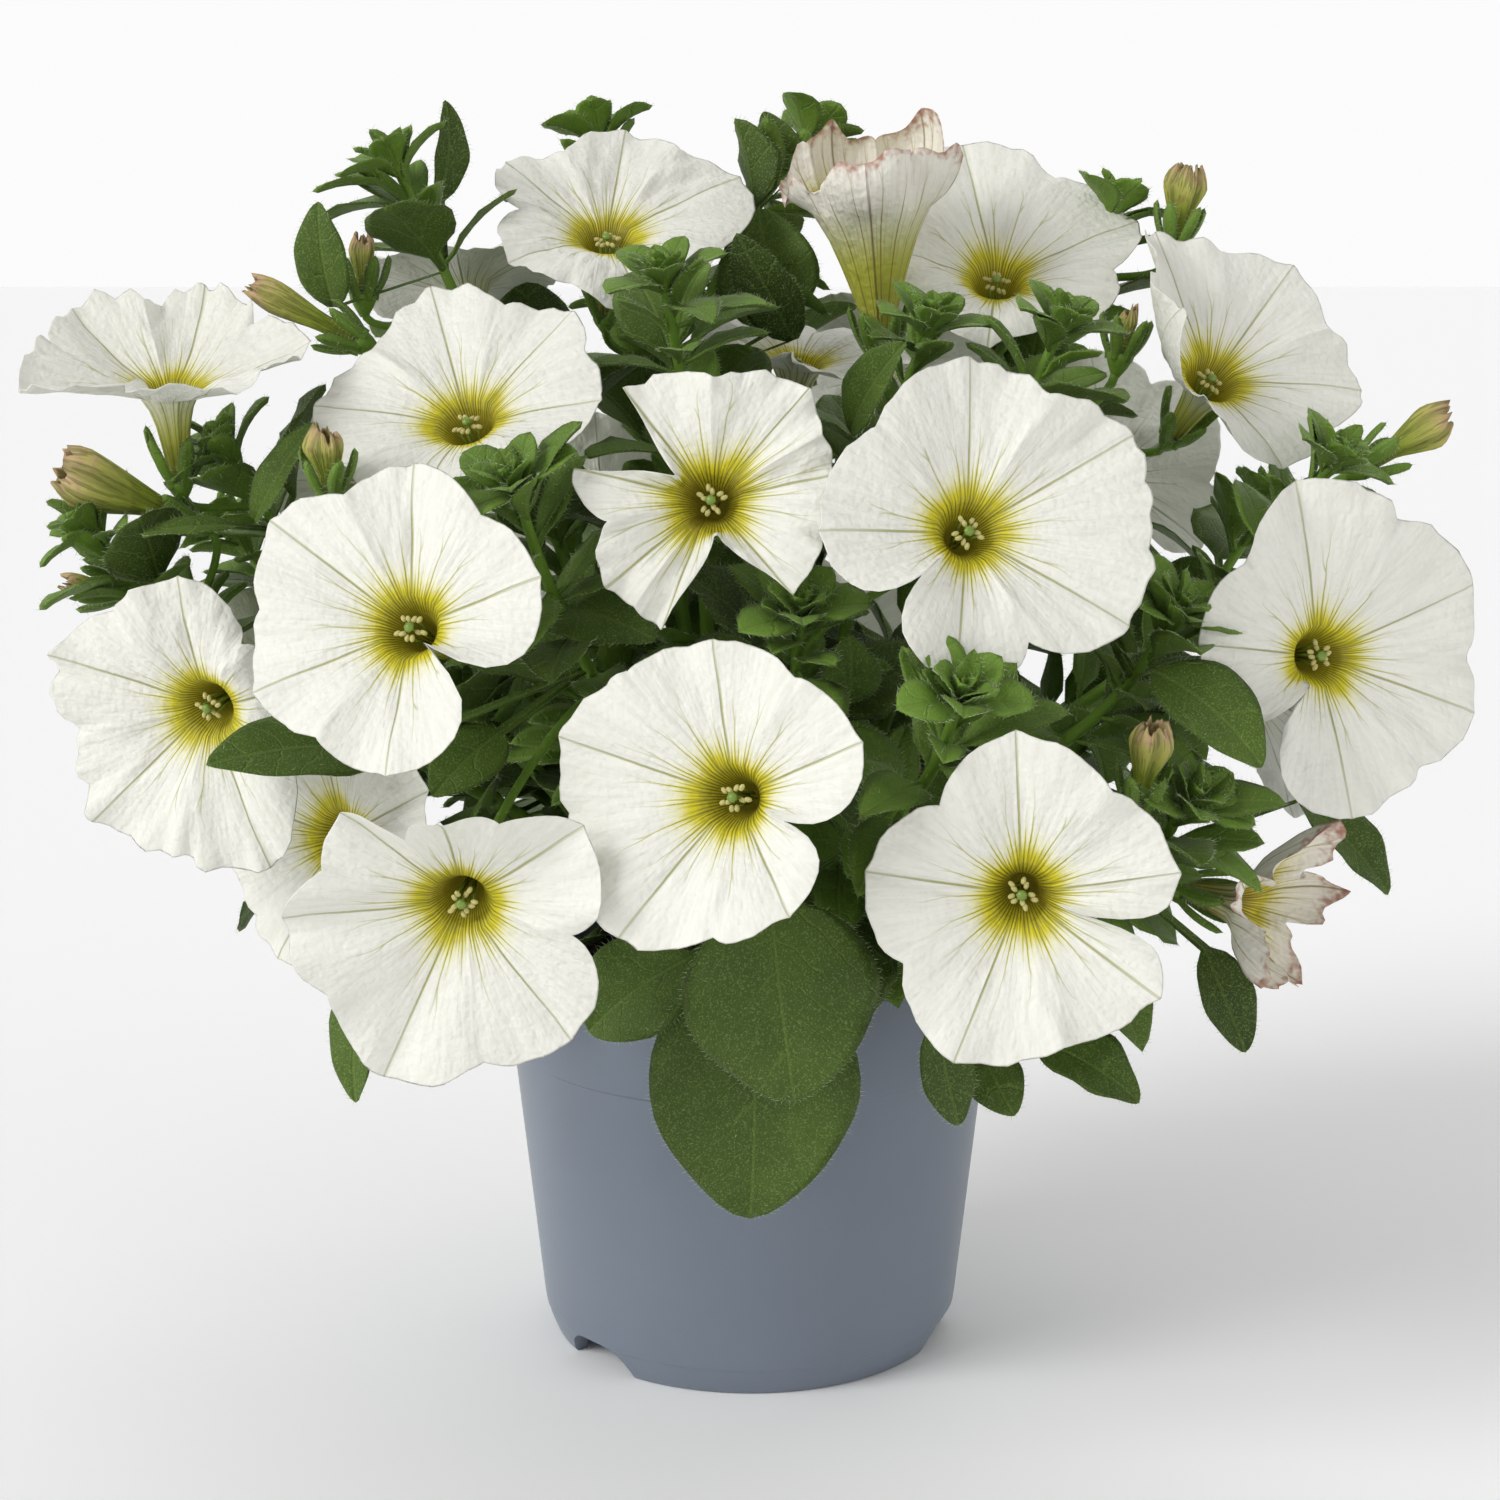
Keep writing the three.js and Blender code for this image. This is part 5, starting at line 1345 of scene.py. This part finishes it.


# The colour for the lower tube is painted shade.
# The crease colour is painted grey shade along the crepe streaks.
white_petal = petal_material("petunia_petal", {
    "petal": "#ecebe2", "crease": "#e1e1d6", "halo": "#e2dd80", "flame": "#cfc400", "vein": "#9a9a1c",
    "far_vein": "#babf8e", "throat": "#98911a", "throat_vein": "#53400a", "deep": "#7d7620",
    "tube": "#b9ba34", "rib": "#7f8a22",
}, 2.4)

# Anthers: dusty pale-yellow pollen sacs. Stigma and filaments: smooth green.
pollen, tree, surface = new_material("petunia_pollen")
dust = noise(tree, object_place(tree), 2500.0)
coat(tree, surface, blend(tree, dust, "#a9a050", "#d6cf92"), 0.85)
stigma_green, tree, surface = new_material("petunia_stigma")
moist = noise(tree, object_place(tree), 900.0)
coat(tree, surface, blend(tree, moist, "#5f7a2a", "#8aa548"), 0.35)


GRAIN_SIDES = 7
GRAIN_LATITUDES = (-0.72, 0, 0.72)
STAMENS = 5
STAMEN_FOOT = 16
FILAMENT_RADII = (0.3, 0.24)
ANTHER_HALVES = (0.85, 0.55)
STIGMA_HALVES = (0.7, 1.15)
POLLEN, GREEN = 1, 2


def add_grain(points, faces, tints, middle, axis, halves, tint):
    """A small egg-shaped body. halves are half its length along its axis and its radius."""
    long, wide = halves
    made = tube_faces(len(GRAIN_LATITUDES), GRAIN_SIDES, len(points))
    points.append(middle - long * axis)
    for latitude in GRAIN_LATITUDES:
        level = middle + long * math.sin(latitude) * axis
        points += [level + wide * math.cos(latitude) * way for way in spokes_round(axis, GRAIN_SIDES)]
    points.append(middle + long * axis)
    faces += made
    tints += [tint] * len(made)


def add_stamens(bloom, draw, points, faces, tints):
    """Five anthers on filaments round a green stigma, in the throat."""
    face, middle = bloom["face"], bloom["at"]
    first, second = across(face)
    spin = 6.28 * draw()
    tops = [(middle - 4.6 * face, False)]
    for k in range(STAMENS):
        angle = spin + 2 * math.pi * k / STAMENS + 0.4 * draw()
        way = first * math.cos(angle) + second * math.sin(angle)
        tops.append((middle + (1.9 + 0.5 * draw()) * way - (5.4 + 1.6 * draw()) * face, True))
    foot = middle - STAMEN_FOOT * face
    for top, is_stamen in tops:
        base = foot + 0.4 * (top - middle - face * ((top - middle) @ face))
        start = len(points)
        for i, radius in enumerate(FILAMENT_RADII):
            points += ring_round([base, top], i, radius, 4)
        near, far = range(start, start + 4), range(start + 4, start + 8)
        made = [(near[k], near[(k + 1) % 4], far[(k + 1) % 4], far[k]) for k in range(4)]
        made += [tuple(reversed(near)), tuple(far)]
        faces += made
        tints += [GREEN] * len(made)
        if not is_stamen:
            add_grain(points, faces, tints, top, face, STIGMA_HALVES, GREEN)
            continue
        axis = unit(face + 0.5 * (top - middle) / 3)
        side = 0.55 * first
        for spot in (top + side + 0.4 * face, top - side + 0.4 * face):
            add_grain(points, faces, tints, spot, axis, ANTHER_HALVES, POLLEN)


for bloom in blooms:
    if not bloom["node"].startswith("bloom"):
        continue
    number = int(bloom["node"][-2:])
    draw = stream(60000 + number)
    points, faces, known = add_corolla(bloom, draw, 1.0)
    petal_count, points, tints = len(points), list(points), [0] * len(faces)
    add_stamens(bloom, draw, points, faces, tints)
    for key, numbers in known.items():
        blank = np.zeros((len(points) - petal_count, *numbers.shape[1:]))
        known[key] = np.concatenate([numbers, blank])
    piece = new_piece(f"white_bloom_{number:02d}", points, faces,
                      [white_petal, pollen, stigma_green], tints, known)
    kept_inside(piece)
    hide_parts(bloom["node"])
    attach(piece, "root")


# Fading blooms. Corollas past their best: they have closed into a trumpet or crumpled, turned
# cream, and browned along their edges.
# The colour for the lower tube is painted shade.
# The crease colour is painted grey shade along the crepe streaks.
faded_petal = petal_material("faded_petunia_petal", {
    "petal": "#eeeae0", "crease": "#e2dccd", "halo": "#e0da90", "flame": "#c6ba28", "vein": "#8a7c24",
    "far_vein": "#c9b8a6", "throat": "#8f8420", "throat_vein": "#5a3f18", "deep": "#55551c",
    "tube": "#b3b52a", "rib": "#7d6028", "rim": "#ab7a66", "worn": (3.0, 3.9),
}, 4.0)
for bloom in blooms:
    if not bloom["node"].startswith("fading"):
        continue
    number = int(bloom["node"][-2:])
    points, faces, known = add_corolla(bloom, stream(70000 + number), 1.9)
    piece = new_piece(f"closing_bloom_{number:02d}", points, faces, [faded_petal], None, known)
    kept_inside(piece)
    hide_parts(bloom["node"])
    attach(piece, "root")


# Spent blooms. What is left of a corolla: a dry ochre tube, folded lengthwise, that ends in a
# shrivelled brown mouth.
SPENT_STATIONS = [(0.03, 0.26), (0.35, 0.5), (0.75, 0.95), (1, 0.85)]
SPENT_CORNERS = 6
SPENT_SIDES, SPENT_ROWS = 30, 14
SPENT_WALL = 0.7

withered, tree, surface = new_material("withered_petal")
along, fold, spoke = fact(tree, "along"), fact(tree, "fold"), fact(tree, "spoke", "Vector")
blotch = noise(tree, object_place(tree), 330.0, 4.0)
streaks = add(tree, "ShaderNodeTexNoise", {
    "Vector": spoke, "W": math_node(tree, "MULTIPLY", along, 0.5), "Scale": 7.0, "Detail": 2.0,
}, noise_dimensions="4D").outputs["Fac"]
colour = blend(tree, ramp(tree, along, 0.35, 0.95), "#8c9a24", "#b9b060")
worn = math_node(tree, "ADD", along, math_node(tree, "MULTIPLY", blotch, 0.5))
colour = blend(tree, ramp(tree, worn, 1.0, 1.3, 0.0, 0.85), colour, "#c39c82")
colour = blend(tree, ramp(tree, streaks, 0.52, 0.6, 0.0, 0.6), colour, "#5d661c")
# Painted shade: the tube turns a darker olive in the hollows of its lengthwise folds
colour = blend(tree, ramp(tree, fold, 0.3, -0.9, 0.0, 0.4), colour, "#566018")
colour = blend(tree, ramp(tree, blotch, 0.58, 0.75, 0.0, 0.5), colour, "#7f6a2a")
colour = blend(tree, ramp(tree, worn, 1.27, 1.42, 0.0, 0.7), colour, "#8a5a3c")
height = math_node(tree, "SUBTRACT", blotch, math_node(tree, "MULTIPLY", streaks, 1.5))
coat(tree, surface, colour, 0.7, Normal=bumped(tree, height, 0.7, 0.0009))


def withered_tube(bloom, number, draw):
    """Points, faces and what each point knows, for a dry tube that is open at its mouth."""
    axis, start = bloom["face"], bloom["foot"]
    length = np.linalg.norm(bloom["end"] - start)
    first, second = across(axis)
    table = []
    for share, width in SPENT_STATIONS:
        ring = []
        for _ in range(SPENT_CORNERS):
            rough = 1 if share < 0.1 else 0.72 + 0.4 * draw()
            radius = TUBE_FOOT_RADIUS if share < 0.1 else max(width * bloom["width"] / 2 * rough, 1.2)
            ring.append((radius, 2.4 * (draw() - 0.5) if share > 0.8 else 0))
        table.append(ring)
    table = np.array(table)
    turns = np.arange(SPENT_SIDES) / SPENT_SIDES
    lower = np.floor(turns * SPENT_CORNERS).astype(int)
    soft = (0.5 - 0.5 * np.cos(math.pi * (turns * SPENT_CORNERS - lower)))[:, None]
    rings = table[:, lower] * (1 - soft) + table[:, (lower + 1) % SPENT_CORNERS] * soft
    angles = 2 * math.pi * turns
    ways = 1.1 * np.cos(angles)[:, None] * first + 0.8 * np.sin(angles)[:, None] * second
    folds = np.cos(4 * angles + number) + 0.6 * np.cos(7 * angles + 2 * number)
    frayed = np.sin(6 * angles + number) + 0.6 * np.sin(11 * angles)
    around = np.stack([np.cos(angles), np.sin(angles), np.full(SPENT_SIDES, 2.3 * number)], axis=1)
    layers = [(share, 0.0) for share in np.linspace(0.03, 1, SPENT_ROWS)]
    layers += [(share, SPENT_WALL) for share in (0.98, 0.92, 0.84)]
    stations = [share for share, _ in SPENT_STATIONS]
    points, along, fold = [start], [0], [0]
    for share, inset in layers:
        radius, lift = (np.array([np.interp(share, stations, rings[:, k, i]) for k in range(SPENT_SIDES)])
                        for i in (0, 1))
        pinch = 1 - 0.3 * max((share - 0.82) / 0.18, 0) ** 2
        radius = radius * pinch * (1 + 0.15 * folds * min(share * 2, 1)) - inset
        edge = 0.8 * frayed * max(share - 0.7, 0) / 0.3
        level = length * share + lift * (share > 0.75) * (share - 0.75) / 0.25 + edge
        points += list(start + level[:, None] * axis + np.maximum(radius, 0.5)[:, None] * ways)
        along += [share] * SPENT_SIDES
        fold += list(folds)
    points.append(start + 0.8 * length * axis)
    known = {
        "along": along + [0.6], "fold": fold + [-1],
        "spoke": np.concatenate([[[1, 0, 0]], *[around] * len(layers), [[1, 0, 0]]]),
    }
    return points, tube_faces(len(layers), SPENT_SIDES), known


for bloom in blooms:
    if not bloom["node"].startswith("spent"):
        continue
    number = int(bloom["node"][-2:])
    points, faces, known = withered_tube(bloom, number, stream(700 + number - 1))
    piece = new_piece(f"withered_bloom_{number:02d}", points, faces, [withered], None, known)
    kept_inside(piece)
    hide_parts(bloom["node"])
    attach(piece, "root")


# Studio. A plain white floor, a large soft light from the upper left, a fill, and the camera
# where the photographer stood.
CAMERA_PLACE = (0, -0.65, 0.2735)
CAMERA_PITCH = 0.2026
CAMERA_LENS = 68.2
# A sun of this strength, square on, shows white paper as pure white
FULL_SUN = math.pi
SUNS = {
    "key": ((-0.74, -0.42, 0.52), 0.54, 30), "fill": ((0.72, -0.6, 0.35), 0.10, 60),
    "rim": ((0.2, 0.75, 0.63), 0.25, 60),
}
SOFTBOX_PLACE = (-0.95, -0.3, 0.25)
SOFTBOX_AIM = (-0.95, -0.3, 0.12)
FLOOR_REACH = 6000

paper, tree, surface = new_material("studio_paper")
coat(tree, surface, linear("#ffffff"), 0.95)
corners = [(x * FLOOR_REACH, y * FLOOR_REACH, 0) for x, y in ((-1, -1), (1, -1), (1, 1), (-1, 1))]
floor = new_piece("studio_floor", corners, [(0, 1, 2, 3)], [paper])


def hang(name, data, aim):
    """Puts a light into the scene, shining against the direction of aim."""
    light = bpy.data.objects.new(name, data)
    light.rotation_euler = Vector(aim).to_track_quat("Z", "Y").to_euler()
    bpy.context.scene.collection.objects.link(light)
    return light


world = bpy.data.worlds.new("studio_air")
world.use_nodes = True
tree = world.node_tree
sky = add(tree, "ShaderNodeTexCoord").outputs["Generated"]
height = add(tree, "ShaderNodeSeparateXYZ", {"Vector": sky}).outputs[2]
seen = add(tree, "ShaderNodeLightPath").outputs["Is Camera Ray"]
glow = sums(tree, ramp(tree, height, 0.10, 0.40, 1.0, 0.40),
            ("MULTIPLY", math_node(tree, "SUBTRACT", 1.0, seen)),
            ("ADD", math_node(tree, "MULTIPLY", seen, 0.97)))
tree.links.new(glow, tree.nodes["Background"].inputs["Strength"])
tree.nodes["Background"].inputs["Color"].default_value = (1, 1, 1, 1)
bpy.context.scene.world = world
for name, (aim, strength, spread) in SUNS.items():
    data = bpy.data.lights.new(name, "SUN")
    data.energy = strength * FULL_SUN
    data.angle = math.radians(spread)
    hang(name, data, aim)
data = bpy.data.lights.new("side_softbox", "AREA")
data.shape, data.size, data.size_y, data.energy = "RECTANGLE", 0.5, 0.9, 0.4
hang("side_softbox", data, SOFTBOX_AIM).location = SOFTBOX_PLACE

lens = bpy.data.cameras.new("camera")
lens.sensor_width = 36
lens.lens = CAMERA_LENS
camera = bpy.data.objects.new("camera", lens)
camera.location = CAMERA_PLACE
camera.rotation_euler = (math.pi / 2 - CAMERA_PITCH, 0, 0)
bpy.context.scene.collection.objects.link(camera)
bpy.context.scene.camera = camera
bpy.context.scene.view_settings.view_transform = "Standard"
